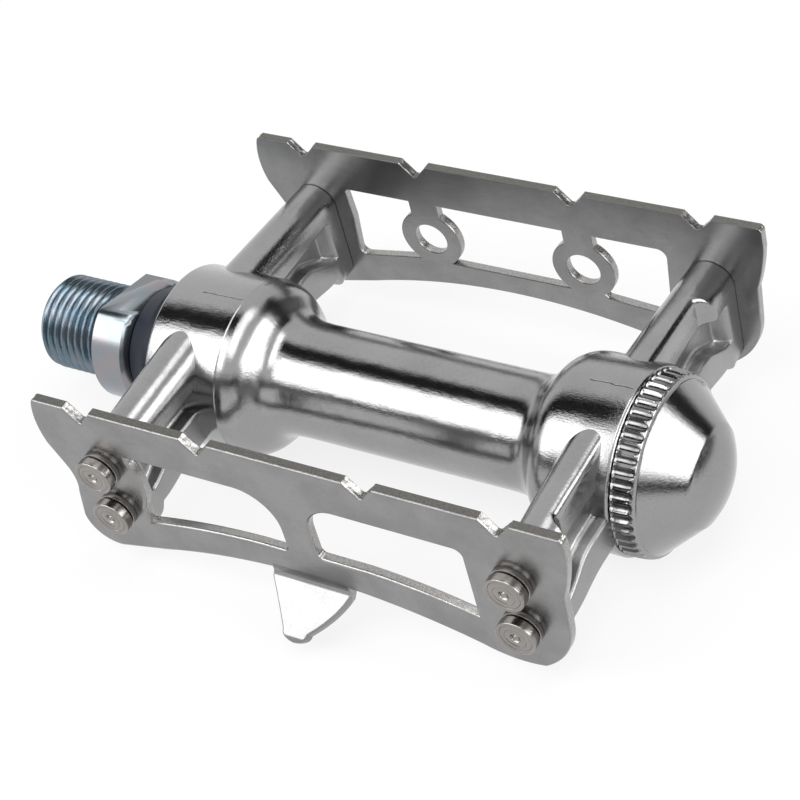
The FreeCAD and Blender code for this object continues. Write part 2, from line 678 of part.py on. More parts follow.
def make_rear_plate():
    """Rear cage plate with two windows and a tab bent outwards."""
    body = new_body("rear_cage_plate")
    outline = new_sketch(body, "outline", "XZ_Plane", offset="cage_half")
    draw(outline, plate_outline())
    pad(body, outline, "plate_thickness")

    windows = new_sketch(body, "windows", "XZ_Plane", offset="cage_half")
    left, right = "crank_arm_at + 5.8", "cap_arm_at - 6.9"
    draw(windows, [
        Corner(left, "window_top"),
        Corner("middle_at - 2.6", "window_top", "6"),
        Corner("middle_at - 2.6", "plate_waist + 4.2", "0.8"),
        Corner("middle_at - 7.2", "plate_waist + 4.2", via=("middle_at - 16.2", "plate_waist + 3.5")),
        Corner(left, "plate_waist + 1.7"),
        Corner(left, "window_top - 9.8", via=("crank_arm_at + 6.9", "rivet_low + rivet_spacing * 0.7")),
        Corner(left, "window_top - 1"),
    ])
    draw(windows, [
        Corner("middle_at + 2.2", "window_top + 0.2", "5"),
        Corner(right, "window_top", "1.2"),
        Corner(right, "plate_waist + 2", via=("cap_arm_at - 14.2", "plate_waist + 3.6")),
        Corner("cap_arm_at - 23", "plate_waist + 4.6"),
        Corner("middle_at + 2.2", "plate_waist + 4.6", "0.8"),
    ])
    pocket(body, windows)

    strip = new_sketch(body, "tab", "YZ_Plane", offset="tab_at - tab_width / 2")
    outer = "tab_bend + plate_thickness"
    hinge = "-cage_outer - tab_bend"
    root = "plate_waist - 0.5"
    turn = "tab_angle * 1 deg"
    half = "tab_angle * 0.5 deg"
    inside = (f"{hinge} + tab_bend * cos({turn})", f"{root} - tab_bend * sin({turn})")
    outside = (f"{hinge} + ({outer}) * cos({turn})", f"{root} - ({outer}) * sin({turn})")
    run = (f" - tab_length * sin({turn})", f" - tab_length * cos({turn})")
    draw(strip, [
        Corner("-cage_outer", "plate_waist + 2"),
        Corner("-cage_outer", root,
               via=(f"{hinge} + tab_bend * cos({half})", f"{root} - tab_bend * sin({half})")),
        Corner(*inside),
        Corner(inside[0] + run[0], inside[1] + run[1]),
        Corner(outside[0] + run[0], outside[1] + run[1]),
        Corner(outside[0], outside[1],
               via=(f"{hinge} + ({outer}) * cos({half})", f"{root} - ({outer}) * sin({half})")),
        Corner("-cage_half", root),
        Corner("-cage_half", "plate_waist + 2"),
    ])
    pad(body, strip, "tab_width")

    trim = new_sketch(body, "tab_trim", "XZ_Plane")
    trim.AttachmentOffset = FreeCAD.Placement(VECTOR(0, 0, 0), FreeCAD.Rotation(VECTOR(1, 0, 0), -1))
    bind(trim, "AttachmentOffset.Base.x", "tab_at")
    bind(trim, "AttachmentOffset.Base.y", inside[1])
    bind(trim, "AttachmentOffset.Base.z", "-(" + inside[0] + ")")
    bind(trim, "AttachmentOffset.Rotation.Angle", "-tab_angle")
    for sign in ("", "-"):
        draw(trim, [
            Corner(f"{sign}(tab_width / 2)", "0", via=(f"{sign}(tab_width / 2 - 1.9)", "-tab_length * 0.43")),
            Corner(f"{sign}tab_tip", "-tab_length + 0.7", via=(f"{sign}tab_tip * 0.5", "-tab_length + 0.15")),
            Corner("0", "-tab_length"),
            Corner("0", "-tab_length - 1"),
            Corner(f"{sign}(tab_width / 2 + 1)", "-tab_length - 1"),
            Corner(f"{sign}(tab_width / 2 + 1)", "0"),
        ])
    pocket(body, trim)

    rivet_holes(body, "cage_half")
    return body


def make_front_plate():
    """Front cage plate with two eyes between three windows."""
    body = new_body("front_cage_plate")
    outline = new_sketch(body, "outline", "XZ_Plane", offset="-cage_outer")
    draw(outline, plate_outline())
    pad(body, outline, "plate_thickness")

    windows = new_sketch(body, "windows", "XZ_Plane", offset="-cage_half")
    low = "plate_waist + 3.5"
    around = "sqrt(clip_eye_radius ^ 2 - (clip_hole_height - plate_waist - 3.5) ^ 2)"
    first, second = "clip_hole_at", "second_clip_at"
    draw(windows, [
        Corner("crank_arm_at + 5.9", "window_top", "0.8"),
        Corner(f"{first} - 2.4", "window_top"),
        Corner(*eye_neck(first, "-"), via=(f"{first} - clip_eye_radius", "clip_hole_height")),
        Corner(f"{first} - {around}", low),
        Corner("crank_arm_at + 5.6", "plate_waist + 1.6", "1"),
        Corner("crank_arm_at + 6.2", "clip_hole_height + 1"),
    ])
    draw(windows, [
        Corner(f"{first} + 2.4", "window_top"),
        Corner(f"{second} - 2.4", "window_top"),
        Corner(*eye_neck(second, "-"), via=(f"{second} - clip_eye_radius", "clip_hole_height")),
        Corner(f"{second} - {around}", low),
        Corner(f"{first} + {around}", low, via=(f"{first} + clip_eye_radius", "clip_hole_height")),
        Corner(*eye_neck(first, "+")),
    ])
    draw(windows, [
        Corner(f"{second} + 2.4", "window_top"),
        Corner("cap_arm_at - 6.3", "window_top", "1.4"),
        Corner("cap_arm_at - 7.2", "plate_waist + 2", "1"),
        Corner(f"{second} + {around} + 0.5", low + " - 0.5"),
        Corner(f"{second} + {around}", low, via=(f"{second} + clip_eye_radius", "clip_hole_height")),
        Corner(*eye_neck(second, "+")),
    ])
    pocket(body, windows)
    eyes = new_sketch(body, "eyes", "XZ_Plane", offset="-cage_half")
    for at in ("clip_hole_at", "second_clip_at"):
        draw_circle(eyes, at, "clip_hole_height", "clip_hole_radius")
    pocket(body, eyes)
    rivet_holes(body, "-cage_half")
    return body


def rivet_holes(body, offset):
    """Four rivet holes through a cage plate."""
    holes = new_sketch(body, "rivet_holes", "XZ_Plane", offset=offset)
    for across in ("crank_rivet_at", "cap_rivet_at"):
        for up in ("rivet_low", "rivet_high"):
            draw_circle(holes, across, up, "rivet_radius + rivet_play")
    pocket(body, holes)


def make_rivet(name, across, up, side):
    """One rivet: shank through plate and pad, stepped head on the outer face of the plate."""
    body = new_body(name)
    sketch = new_sketch(body, "profile", "XZ_Plane")
    draw(sketch, [
        Corner("-pin_depth", "0"),
        Corner("-pin_depth", "rivet_radius"),
        Corner("0", "rivet_radius"),
        Corner("0", "rivet_head_radius"),
        Corner("rivet_flange", "rivet_head_radius"),
        Corner("rivet_flange + rivet_edge", "rivet_disc_radius - rivet_edge"),
        Corner("rivet_flange + 2 * rivet_edge", "rivet_disc_radius"),
        Corner("rivet_head_height - rivet_edge", "rivet_disc_radius"),
        Corner("rivet_head_height", "rivet_disc_radius - rivet_edge"),
        Corner("rivet_head_height", "0"),
    ])
    spin(body, sketch)
    body.Placement = FreeCAD.Placement(VECTOR(0, 0, 0), FreeCAD.Rotation(VECTOR(0, 0, 1), 90 * side))
    bind(body, "Placement.Base.x", across)
    bind(body, "Placement.Base.y", f"{side} * cage_outer")
    bind(body, "Placement.Base.z", up)
    return body


def make_rivets():
    """All eight rivets as one group."""
    rivets = []
    for side, plate in ((-1, "rear"), (1, "front")):
        for across, arm in (("crank_rivet_at", "crank"), ("cap_rivet_at", "cap")):
            for up, level in (("rivet_low", "low"), ("rivet_high", "high")):
                rivets.append(make_rivet(f"rivet_{plate}_{arm}_{level}", across, up, side))
    group = doc.addObject("Part::Compound", "cage_rivets")
    group.Label = "cage_rivets"
    group.Links = rivets
    return group


def make_cap():
    """Dust cap: spigot, fluted band and rounded cone, hollow over the spindle end."""
    body = turned("dust_cap", [
        Corner("cap_bore_floor", "spigot_inner"),
        Corner("cap_bore_floor", "spigot_radius"),
        Corner("body_end", "spigot_radius"),
        Corner("body_end", "cap_band_radius"),
        Corner("band_end", "cap_band_radius - 0.25"),
        Corner("band_end + 0.2", "cap_cone_radius"),
        Corner("cap_face", "cap_face_radius",
               via=("cap_end - dome_radius + sqrt(dome_radius ^ 2 - cap_face_radius ^ 2 / 4)",
                    "cap_face_radius / 2")),
        Corner("cap_end", "0"),
        Corner("cap_end - cap_wall", "0"),
        Corner("cap_face - cap_wall", "cap_face_radius - 0.6"),
        Corner("band_end", "spigot_inner - 0.7"),
    ])
    flute = new_sketch(body, "flute", "YZ_Plane", offset="band_end + flute_depth")
    draw_circle(flute, "0", "cap_band_radius + flute_radius - flute_depth", "flute_radius")
    cut = pocket(body, flute, "cap_band_length + flute_depth")
    flutes = body.newObject("PartDesign::PolarPattern", "dust_cap_flutes")
    flutes.Originals = [cut]
    flutes.Axis = (flute, ["N_Axis"])
    flutes.Angle = 360
    bind(flutes, "Occurrences", "cap_flutes")
    body.Tip = flutes
    return body


parts = [make_body(), make_rear_plate(), make_front_plate(), make_rivets(), make_cap(), make_spindle(),
         make_seal(), make_inner_cup(), make_outer_cup(), make_outer_cone(), make_washer(), make_nut()]
parts += make_balls("inner_ball", "inner_ball_count", "inner_ball_at", "inner_ball_circle")
parts += make_balls("outer_ball", "outer_ball_count", "outer_ball_at", "outer_ball_circle")

doc.recompute()
for item in doc.Objects:
    if "Invalid" in item.State or "Error" in item.State:
        raise RuntimeError(f"{item.Label} did not build: {item.State}")
os.makedirs("parts", exist_ok=True)
for part in parts:
    shape = part.Shape
    if shape.isNull() or not shape.isValid():
        raise RuntimeError(f"{part.Label} has no valid shape")
    shape.exportStep(f"parts/{part.Label}.step")
    print(part.Label, len(shape.Solids), round(shape.Volume, 1))
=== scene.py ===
"""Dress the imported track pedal: finishes, cut and turned detail, studio and camera.

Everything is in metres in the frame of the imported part: the spindle axis is X, the crank side is -X, and
the toothed cage edges point up.
"""

import json
import logging
import math
from dataclasses import dataclass, field
from enum import Enum
from typing import Callable, Optional, Sequence, Union

import bmesh
import bpy
from mathutils import Matrix, Vector, noise

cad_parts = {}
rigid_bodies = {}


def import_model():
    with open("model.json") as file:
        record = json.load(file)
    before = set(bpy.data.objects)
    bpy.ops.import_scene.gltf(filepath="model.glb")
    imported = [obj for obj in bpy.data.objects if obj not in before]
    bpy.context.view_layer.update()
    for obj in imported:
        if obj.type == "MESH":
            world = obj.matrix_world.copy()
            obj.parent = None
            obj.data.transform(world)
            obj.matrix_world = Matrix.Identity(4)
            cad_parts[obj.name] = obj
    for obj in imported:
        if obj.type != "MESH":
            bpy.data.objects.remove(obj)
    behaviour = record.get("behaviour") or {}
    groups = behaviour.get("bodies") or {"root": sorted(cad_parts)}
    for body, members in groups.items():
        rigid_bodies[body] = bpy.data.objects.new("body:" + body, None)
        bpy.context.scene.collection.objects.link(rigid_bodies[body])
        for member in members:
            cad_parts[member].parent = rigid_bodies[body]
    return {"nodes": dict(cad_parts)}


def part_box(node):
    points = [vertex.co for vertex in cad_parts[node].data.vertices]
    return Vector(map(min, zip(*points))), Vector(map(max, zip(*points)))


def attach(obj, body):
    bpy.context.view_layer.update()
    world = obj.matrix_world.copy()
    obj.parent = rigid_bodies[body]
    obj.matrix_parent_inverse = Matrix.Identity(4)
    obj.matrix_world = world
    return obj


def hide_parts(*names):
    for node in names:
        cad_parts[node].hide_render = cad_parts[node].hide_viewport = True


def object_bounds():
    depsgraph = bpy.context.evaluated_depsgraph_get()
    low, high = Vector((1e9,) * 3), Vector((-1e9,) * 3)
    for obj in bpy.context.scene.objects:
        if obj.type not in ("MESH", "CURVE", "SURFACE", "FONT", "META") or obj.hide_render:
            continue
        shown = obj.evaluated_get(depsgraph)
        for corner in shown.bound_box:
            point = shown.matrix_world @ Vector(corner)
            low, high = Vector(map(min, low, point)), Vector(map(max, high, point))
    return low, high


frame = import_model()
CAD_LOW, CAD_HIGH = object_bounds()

logging.basicConfig(level=logging.INFO, format="%(message)s")
LOG = logging.getLogger("track_pedal")

MM = 0.001
TURN = 2 * math.pi
MIX_FIRST, MIX_SECOND, MIX_RESULT = 6, 7, 2  # the colour sockets of a Mix node
WHITE = (1.0, 1.0, 1.0, 1.0)
FLOOR_COLOUR = (0.86, 0.86, 0.86, 1.0)
SQUARE = ((-1, -1), (1, -1), (1, 1), (-1, 1))
# Near-black painted shade in the groove of the knuckles' parting lines.
SEAM_SHADE_COLOUR = (0.05, 0.05, 0.05)
# Near-black painted shade in the bottoms of the dust cap's flutes.
FLUTE_SHADE_COLOUR = (0.07, 0.07, 0.07)
FLARE_STEP = 0.22  # millimetres between the rings of a flare
INSET = 0.06  # millimetres of flat face kept inside a rolled edge

Number = Union[float, "Strand"]
Colour = tuple[float, float, float]
Paint = Union[Colour, "Strand"]


class Strand:
    """A shader socket that adds nodes to its tree when Python's operators are used on it."""

    def __init__(self, recipe: "Recipe", socket: bpy.types.NodeSocket) -> None:
        """Keep the recipe and the output socket that the strand stands for."""
        self.recipe = recipe
        self.socket = socket

    def _math(self, operation: str, first: Number, second: Number) -> "Strand":
        """Return a new strand for one Math operation."""
        return self.recipe.node("ShaderNodeMath", {"operation": operation}, {0: first, 1: second})

    def __add__(self, other: Number) -> "Strand":
        """Return self + other."""
        return self._math("ADD", self, other)

    def __radd__(self, other: Number) -> "Strand":
        """Return other + self."""
        return self._math("ADD", other, self)

    def __sub__(self, other: Number) -> "Strand":
        """Return self - other."""
        return self._math("SUBTRACT", self, other)

    def __rsub__(self, other: Number) -> "Strand":
        """Return other - self."""
        return self._math("SUBTRACT", other, self)

    def __mul__(self, other: Number) -> "Strand":
        """Return self * other."""
        return self._math("MULTIPLY", self, other)

    def __rmul__(self, other: Number) -> "Strand":
        """Return other * self."""
        return self._math("MULTIPLY", other, self)

    def __pow__(self, other: Number) -> "Strand":
        """Return self raised to other."""
        return self._math("POWER", self, other)

    def __gt__(self, other: Number) -> "Strand":
        """Return 1 where self is greater than other, and 0 elsewhere."""
        return self._math("GREATER_THAN", self, other)

    def between(self, low: float, high: float) -> "Strand":
        """Return a smooth 0 to 1 ramp as the strand goes from low to high.

        Args:
            low: Value that gives 0.
            high: Value that gives 1. It may lie under low.

        Returns:
            The ramp as a strand.
        """
        settings = {"interpolation_type": "SMOOTHSTEP"}
        sockets = {"Value": self, "From Min": low, "From Max": high}
        if high < low:
            sockets = {"Value": self * -1.0, "From Min": -low, "From Max": -high}
        return self.recipe.node("ShaderNodeMapRange", settings, sockets)


class Recipe:
    """The node tree of one finish, ended by a Principled shader."""

    def __init__(self, name: str, owner: Optional[bpy.types.World] = None) -> None:
        """Start an empty tree.

        Args:
            name: Name of the new material, where there is no owner.
            owner: World that the tree belongs to, or None for a new material.
        """
        self.material = owner or bpy.data.materials.new(name)
        self.material.use_nodes = True
        self.tree = self.material.node_tree
        self.tree.nodes.clear()

    def node(self, kind: str, settings: Optional[dict] = None, sockets: Optional[dict] = None,
             output: Union[int, str, None] = 0) -> Optional[Strand]:
        """Add one node.

        Args:
            kind: Type name of the node.
            settings: Properties to set first, such as a Math node's operation.
            sockets: Values or strands for the inputs, by name or index.
            output: Name or index of the output that is wanted, or None.

        Returns:
            That output as a strand.
        """
        made = self.tree.nodes.new(kind)
        for key, value in (settings or {}).items():
            setattr(made, key, value)
        for key, value in (sockets or {}).items():
            if isinstance(value, Strand):
                self.tree.links.new(value.socket, made.inputs[key])
            else:
                made.inputs[key].default_value = value
        return None if output is None else Strand(self, made.outputs[output])

    def place(self) -> Strand:
        """Return the point of the surface in the object's own space, in metres."""
        return self.node("ShaderNodeTexCoord", output="Object")

    def axis(self, name: str) -> Strand:
        """Return one coordinate of the surface point, X, Y or Z, in millimetres."""
        return self.node("ShaderNodeSeparateXYZ", sockets={0: self.place()}, output=name) * (1 / MM)

    def out(self) -> Strand:
        """Return the distance of the surface point from the spindle axis, in millimetres."""
        across, up = self.axis("Y"), self.axis("Z")
        return (across * across + up * up) ** 0.5

    def stretched(self, scale: tuple[float, float, float]) -> Strand:
        """Return the surface point with each axis scaled, which draws a texture out."""
        return self.node("ShaderNodeVectorMath", {"operation": "MULTIPLY"}, {0: self.place(), 1: scale})

    def noise(self, per_mm: float, detail: float = 2.0, stretch: Colour = (1.0, 1.0, 1.0),
              roughness: float = 0.5) -> Strand:
        """Return noise between 0 and 1.

        Args:
            per_mm: Cells in one millimetre.
            detail: Octaves of finer noise.
            stretch: Scale of each axis, on top of per_mm.
            roughness: Weight of the finer octaves.

        Returns:
            The noise as a strand.
        """
        vector = self.stretched(stretch)
        sockets = {"Vector": vector, "Scale": per_mm / MM, "Detail": detail, "Roughness": roughness}
        return self.node("ShaderNodeTexNoise", sockets=sockets)

    def tint(self, amount: Number, plain: Paint, other: Paint) -> Strand:
        """Return a colour between plain and other, by amount."""
        sockets = {"Factor": amount, MIX_FIRST: self._rgba(plain), MIX_SECOND: self._rgba(other)}
        return self.node("ShaderNodeMix", {"data_type": "RGBA"}, sockets, output=MIX_RESULT)

    @staticmethod
    def _rgba(colour: Paint) -> Union[tuple, Strand]:
        """Return a colour with its alpha, or the strand as it is."""
        return colour if isinstance(colour, Strand) else (*colour, 1.0)

    def bump(self, height: Strand, depth_mm: float, edge_mm: float = 0.0) -> Strand:
        """Return a normal roughened by height.

        Args:
            height: Strand from 0 to 1.
            depth_mm: Depth that a height of 1 stands for.
            edge_mm: Radius to which sharp edges look broken, or 0.

        Returns:
            The normal as a strand.
        """
        sockets = {"Height": height, "Distance": depth_mm * MM, "Strength": 1.0}
        if edge_mm > 0:
            sockets["Normal"] = self.node("ShaderNodeBevel", {"samples": 6}, {"Radius": edge_mm * MM})
        return self.node("ShaderNodeBump", sockets=sockets)

    def finish(self, **sockets: Union[float, tuple, Strand]) -> bpy.types.Material:
        """End the tree with a Principled shader.

        Args:
            **sockets: Inputs of the shader, with underscores for the blanks in their names.

        Returns:
            The material.
        """
        inputs = {key.replace("_", " "): value for key, value in sockets.items()}
        self.end_with(self.node("ShaderNodeBsdfPrincipled", sockets=inputs))
        return self.material

    def end_with(self, shader: Strand, kind: str = "ShaderNodeOutputMaterial") -> None:
        """Link a shader to the tree's output, a node of that kind."""
        self.node(kind, sockets={"Surface": shader}, output=None)

    def seen_rays(self) -> Strand:
        """Tell the rays that see the room from those that are lit by it.

        Returns:
            1 for rays from the camera, off metal and through glass, and 0 for diffuse ones.
        """
        camera, glossy, through = (
            self.node("ShaderNodeLightPath", output=f"Is {kind} Ray")
            for kind in ("Camera", "Glossy", "Transmission")
        )
        largest = {"operation": "MAXIMUM"}
        seen = self.node("ShaderNodeMath", largest, {0: camera, 1: glossy})
        return self.node("ShaderNodeMath", largest, {0: seen, 1: through})


def scaled(colour: Colour, share: float) -> Colour:
    """Return a colour made darker or brighter by a share."""
    return tuple(share * part for part in colour)


class Lay(Enum):
    """Direction of the fine lines that polishing or turning left."""

    ALONG = (0.06, 1.0, 1.0)
    NONE = (1.0, 1.0, 1.0)


@dataclass(frozen=True)
class MetalFinish:
    """A bare metal surface.

    Args:
        name: Name of the material.
        colour: Reflected colour.
        roughness: Mean roughness.
        spread: How far the roughness varies.
        lay: Direction of the polishing lines.
        line_depth: Depth of those lines in millimetres.
        grain: Depth of the grain, where the lines are 1.
        wave: Depth of the slow waves, where the lines are 1.
        cast: Whether unpolished casting skin and parting lines show, the lines bumped as grooves and
            darkened with painted shade.
        flute_shade: Whether the bottoms of the cap's flutes are darkened with painted shade.
    """

    name: str
    colour: Colour
    roughness: float
    spread: float
    lay: Lay
    line_depth: float
    grain: float = 1.2
    wave: float = 3.0
    cast: bool = False
    flute_shade: bool = False

    def build(self) -> bpy.types.Material:
        """Build the material.

        Returns:
            Bare metal, with casting skin, parting lines with painted shade, or painted shade in the cap's
            flutes where they are asked for.
        """
        recipe = Recipe(self.name)
        patches = recipe.noise(0.12, detail=4.0)
        lines = recipe.noise(9.0, detail=3.0, stretch=self.lay.value, roughness=0.6)
        grain = recipe.noise(3.2, detail=4.0, roughness=0.65)
        wave = recipe.noise(0.35, detail=1.0)
        dull = scaled(self.colour, 0.78)
        worn = patches.between(0.35, 0.75) * 0.5 + grain.between(0.45, 0.7) * 0.3
        colour = recipe.tint(worn, self.colour, dull)
        roughness = self.roughness + (patches - 0.5) * self.spread + (lines - 0.5) * self.spread
        height = lines + grain * self.grain + wave * self.wave
        if self.cast:
            skin, seam_and_shade = self._skin(recipe), self._seam_and_shade(recipe)
            roughness = roughness + skin * 0.2
            height = height + grain * (skin * 1.6) - seam_and_shade * 3.0
            # Painted shade: the parting lines turn near black, as if shaded in their groove.
            colour = recipe.tint(seam_and_shade * 0.85, colour, SEAM_SHADE_COLOUR)
        if self.flute_shade:
            # Painted shade: the bottoms of the cap's flutes turn darker, as if shaded.
            colour = recipe.tint(self._flute_shade(recipe) * 0.65, colour, FLUTE_SHADE_COLOUR)
        normal = recipe.bump(height, self.line_depth)
        return recipe.finish(Base_Color=colour, Metallic=1.0, Roughness=roughness, Normal=normal)

    @staticmethod
    def _skin(recipe: Recipe) -> Strand:
        """Find the casting skin that the polishing wheel didn't reach.

        Args:
            recipe: Tree that the nodes go into.

        Returns:
            1 low on the arms and in their pockets, and 0 elsewhere.
        """
        wander = (recipe.noise(0.5, detail=2.0) - 0.5) * 2.0
        return recipe.out().between(13.15, 13.6) * (recipe.axis("Z") + wander).between(8.0, 6.6)

    @staticmethod
    def _flute_shade(recipe: Recipe) -> Strand:
        """Return 1 in the bottoms of the flutes of the cap's band, where shade is painted."""
        return (90.0 - recipe.axis("X") > 0.0) * recipe.out().between(12.42, 12.15)

    @staticmethod
    def _seam_and_shade(recipe: Recipe) -> Strand:
        """Draw the fine parting lines along the top of the two knuckles, for their bumped groove and the
        painted shade in it.

        Args:
            recipe: Tree that the nodes go into.

        Returns:
            1 on the lines, and 0 elsewhere.
        """
        along, across, up = (recipe.axis(name) for name in "XYZ")
        wander = (recipe.noise(0.3, detail=3.0) - 0.5) * 1.2
        off = across + wander
        line = (off * off).between(0.012, 0.002) * (up > 12.0)
        return line * ((along > 17.8) * (24.7 - along > 0.0) + (along > 79.8) * (86.0 - along > 0.0))


@dataclass(frozen=True)
class PlateFinish:
    """Satin aluminium sheet with a coarse sheared edge along the teeth.

    Args:
        name: Name of the material.
        colour: Reflected colour of the faces.
        wall_colour: Reflected colour of the punched walls.
        edge_colour: Reflected colour of the sheared teeth.
        top: Height of the teeth in millimetres.
        band: Depth of the sheared band under it in millimetres.
    """

    name: str
    colour: Colour
    wall_colour: Colour
    edge_colour: Colour
    top: float
    band: float

    def build(self) -> bpy.types.Material:
        """Build the material.

        Returns:
            Sheet metal, with its own look for faces, punched walls and sheared teeth.
        """
        recipe = Recipe(self.name)
        up = recipe.axis("Z")
        facing = recipe.node("ShaderNodeTexCoord", output="Normal")
        through, upward = (recipe.node("ShaderNodeSeparateXYZ", sockets={0: facing}, output=name)
                           for name in "YZ")
        sheet = recipe.axis("Y").between(-30.4, -30.2)
        wall = (through * through).between(0.5, 0.15) * sheet
        bottom = self.top - self.band
        sheared = wall * upward.between(0.7, 0.9) * up.between(bottom, bottom + 0.2)
        grain = recipe.noise(5.5, detail=5.0, roughness=0.7)
        chips = recipe.noise(1.6, detail=4.0, roughness=0.7)
        lines = recipe.noise(6.0, detail=3.0, stretch=Lay.ALONG.value)
        cloud = recipe.noise(0.14, detail=5.0, roughness=0.6)
        worn = cloud.between(0.3, 0.7) * 0.6 + grain.between(0.4, 0.7) * 0.4
        faces = recipe.tint(worn, self.colour, scaled(self.colour, 0.7))
        walls = recipe.tint(grain.between(0.4, 0.65), self.wall_colour, scaled(self.wall_colour, 0.6))
        torn = recipe.tint(grain.between(0.35, 0.65), self.edge_colour, scaled(self.edge_colour, 0.5))
        colour = recipe.tint(sheared, recipe.tint(wall, faces, walls), torn)
        roughness = 0.24 + (grain - 0.5) * 0.14 + (lines - 0.5) * 0.1 + sheared * 0.2
        height = lines * 0.3 + grain * (0.9 + wall * 0.9) + chips * (wall * 1.6 + sheared * 1.5)
        normal = recipe.bump(height, 0.012)
        return recipe.finish(Base_Color=colour, Metallic=1.0, Roughness=roughness, Normal=normal)


@dataclass(frozen=True)
class ZincFinish:
    """Zinc plating, blue in the thread and paler with warm patches on the collar.

    Args:
        name: Name of the material.
        colour: Colour of the thread.
        pale: Colour of the collar.
        violet: Colour of the patches.
        edge: Radius of the broken edges in millimetres.
    """

    name: str
    colour: Colour
    pale: Colour
    violet: Colour
    edge: float

    def build(self) -> bpy.types.Material:
        """Build the material.

        Returns:
            Plating that is paler from the collar on.
        """
        recipe = Recipe(self.name)
        patches = recipe.noise(0.22, detail=3.0)
        grain = recipe.noise(8.0, detail=3.0, stretch=Lay.ALONG.value)
        collar = recipe.axis("X").between(-0.4, 0.2)
        plain = recipe.tint(collar, self.colour, self.pale)
        colour = recipe.tint(patches.between(0.4, 0.65) * (0.35 + collar * 0.5), plain, self.violet)
        roughness = 0.22 + (grain - 0.5) * 0.16
        normal = recipe.bump(grain, 0.006, self.edge)
        return recipe.finish(Base_Color=colour, Metallic=1.0, Roughness=roughness, Normal=normal)


@dataclass(frozen=True)
class SealFinish:
    """Dark moulded rubber.

    Args:
        name: Name of the material.
        colour: Colour of the rubber.
    """

    name: str
    colour: Colour

    def build(self) -> bpy.types.Material:
        """Build the material.

        Returns:
            Rubber with worn specks.
        """
        recipe = Recipe(self.name)
        grain = recipe.noise(5.0, detail=3.0)
        worn = scaled(self.colour, 1.8)
        colour = recipe.tint(grain.between(0.4, 0.8), self.colour, worn)
        normal = recipe.bump(grain, 0.02)
        return recipe.finish(Base_Color=colour, Roughness=0.4 + grain * 0.2, Normal=normal,
                             Specular_IOR_Level=0.2)


CASTING = MetalFinish("polished_casting", (0.34, 0.34, 0.34), 0.09, 0.05, Lay.ALONG, 0.010,
                      grain=2.0, wave=5.0, cast=True)
PLATE = PlateFinish("satin_plate", (0.30, 0.30, 0.30), wall_colour=(0.42, 0.41, 0.40),
                    edge_colour=(0.22, 0.213, 0.20), top=17.45, band=3.2)
CHROME = MetalFinish("cap_polish", (0.32, 0.32, 0.32), 0.07, 0.05, Lay.NONE, 0.010,
                     grain=1.6, wave=2.0, flute_shade=True)
RIVET = MetalFinish("rivet_steel", (0.30, 0.285, 0.27), 0.2, 0.10, Lay.NONE, 0.010)
ZINC = ZincFinish("blue_zinc", (0.14, 0.195, 0.235), pale=(0.25, 0.285, 0.305),
                  violet=(0.31, 0.275, 0.29), edge=0.15)
BEARING = MetalFinish("bearing_steel", (0.55, 0.55, 0.56), 0.2, 0.05, Lay.NONE, 0.001)
BALL = MetalFinish("ball_steel", (0.62, 0.62, 0.63), 0.08, 0.02, Lay.NONE, 0.0005)
SEAL = SealFinish("dark_seal", (0.012, 0.015, 0.024))


def new_piece(name: str, shape: bmesh.types.BMesh, material: bpy.types.Material,
              sharp_degrees: float = 40.0) -> bpy.types.Object:
    """Make a mesh object from a bmesh.

    Args:
        name: Name of the piece.
        shape: Its form, which is freed.
        material: Its finish.
        sharp_degrees: Edges that turn more than this stay sharp.

    Returns:
        The object, linked to the scene.
    """
    bmesh.ops.recalc_face_normals(shape, faces=shape.faces)
    mesh = bpy.data.meshes.new(name)
    shape.to_mesh(mesh)
    shape.free()
    mesh.materials.append(material)
    mesh.shade_smooth()
    mesh.set_sharp_from_angle(angle=math.radians(sharp_degrees))
    piece = bpy.data.objects.new(name, mesh)
    bpy.context.scene.collection.objects.link(piece)
    return piece


def round_x(along: float, radius: float, angle: float) -> Vector:
    """Return the point at an angle round the X axis, from +Y towards +Z."""
    return Vector((along, radius * math.cos(angle), radius * math.sin(angle)))


def turned(shape: bmesh.types.BMesh, profile: Sequence[tuple[float, float]], segments: int,
           place: Matrix = Matrix.Identity(4),
           dent: Optional[Callable[[float, float, float], float]] = None) -> None:
    """Add a solid of revolution about the local X axis.

    Args:
        shape: Form that it is added to.
        profile: Points (along the axis, radius). An end with radius 0 is closed to a point.
        segments: Steps round the axis.
        place: Where the solid goes.
        dent: Radius to take off at (along, radius, angle), or None.
    """
    rings = []
    for along, radius in profile:
        if radius <= 0:
            rings.append([shape.verts.new(place @ Vector((along, 0, 0)))])
            continue
        ring = []
        for step in range(segments):
            angle = TURN * step / segments
            cut = dent(along, radius, angle) if dent else 0.0
            ring.append(shape.verts.new(place @ round_x(along, radius - cut, angle)))
        rings.append(ring)
    for one, two in zip(rings, rings[1:]):
        for step in range(segments):
            following = (step + 1) % segments
            if len(one) == 1:
                shape.faces.new((one[0], two[step], two[following]))
            elif len(two) == 1:
                shape.faces.new((one[step], two[0], one[following]))
            else:
                shape.faces.new((one[step], two[step], two[following], one[following]))


def ramp(value: float, low: float, high: float) -> float:
    """Blend smoothly between two values.

    Args:
        value: Where the blend is asked for.
        low: Value that gives 0.
        high: Value that gives 1. It may lie under low.

    Returns:
        The blend, from 0 to 1.
    """
    share = min(1.0, max(0.0, (value - low) / (high - low)))
    return share * share * (3 - 2 * share)


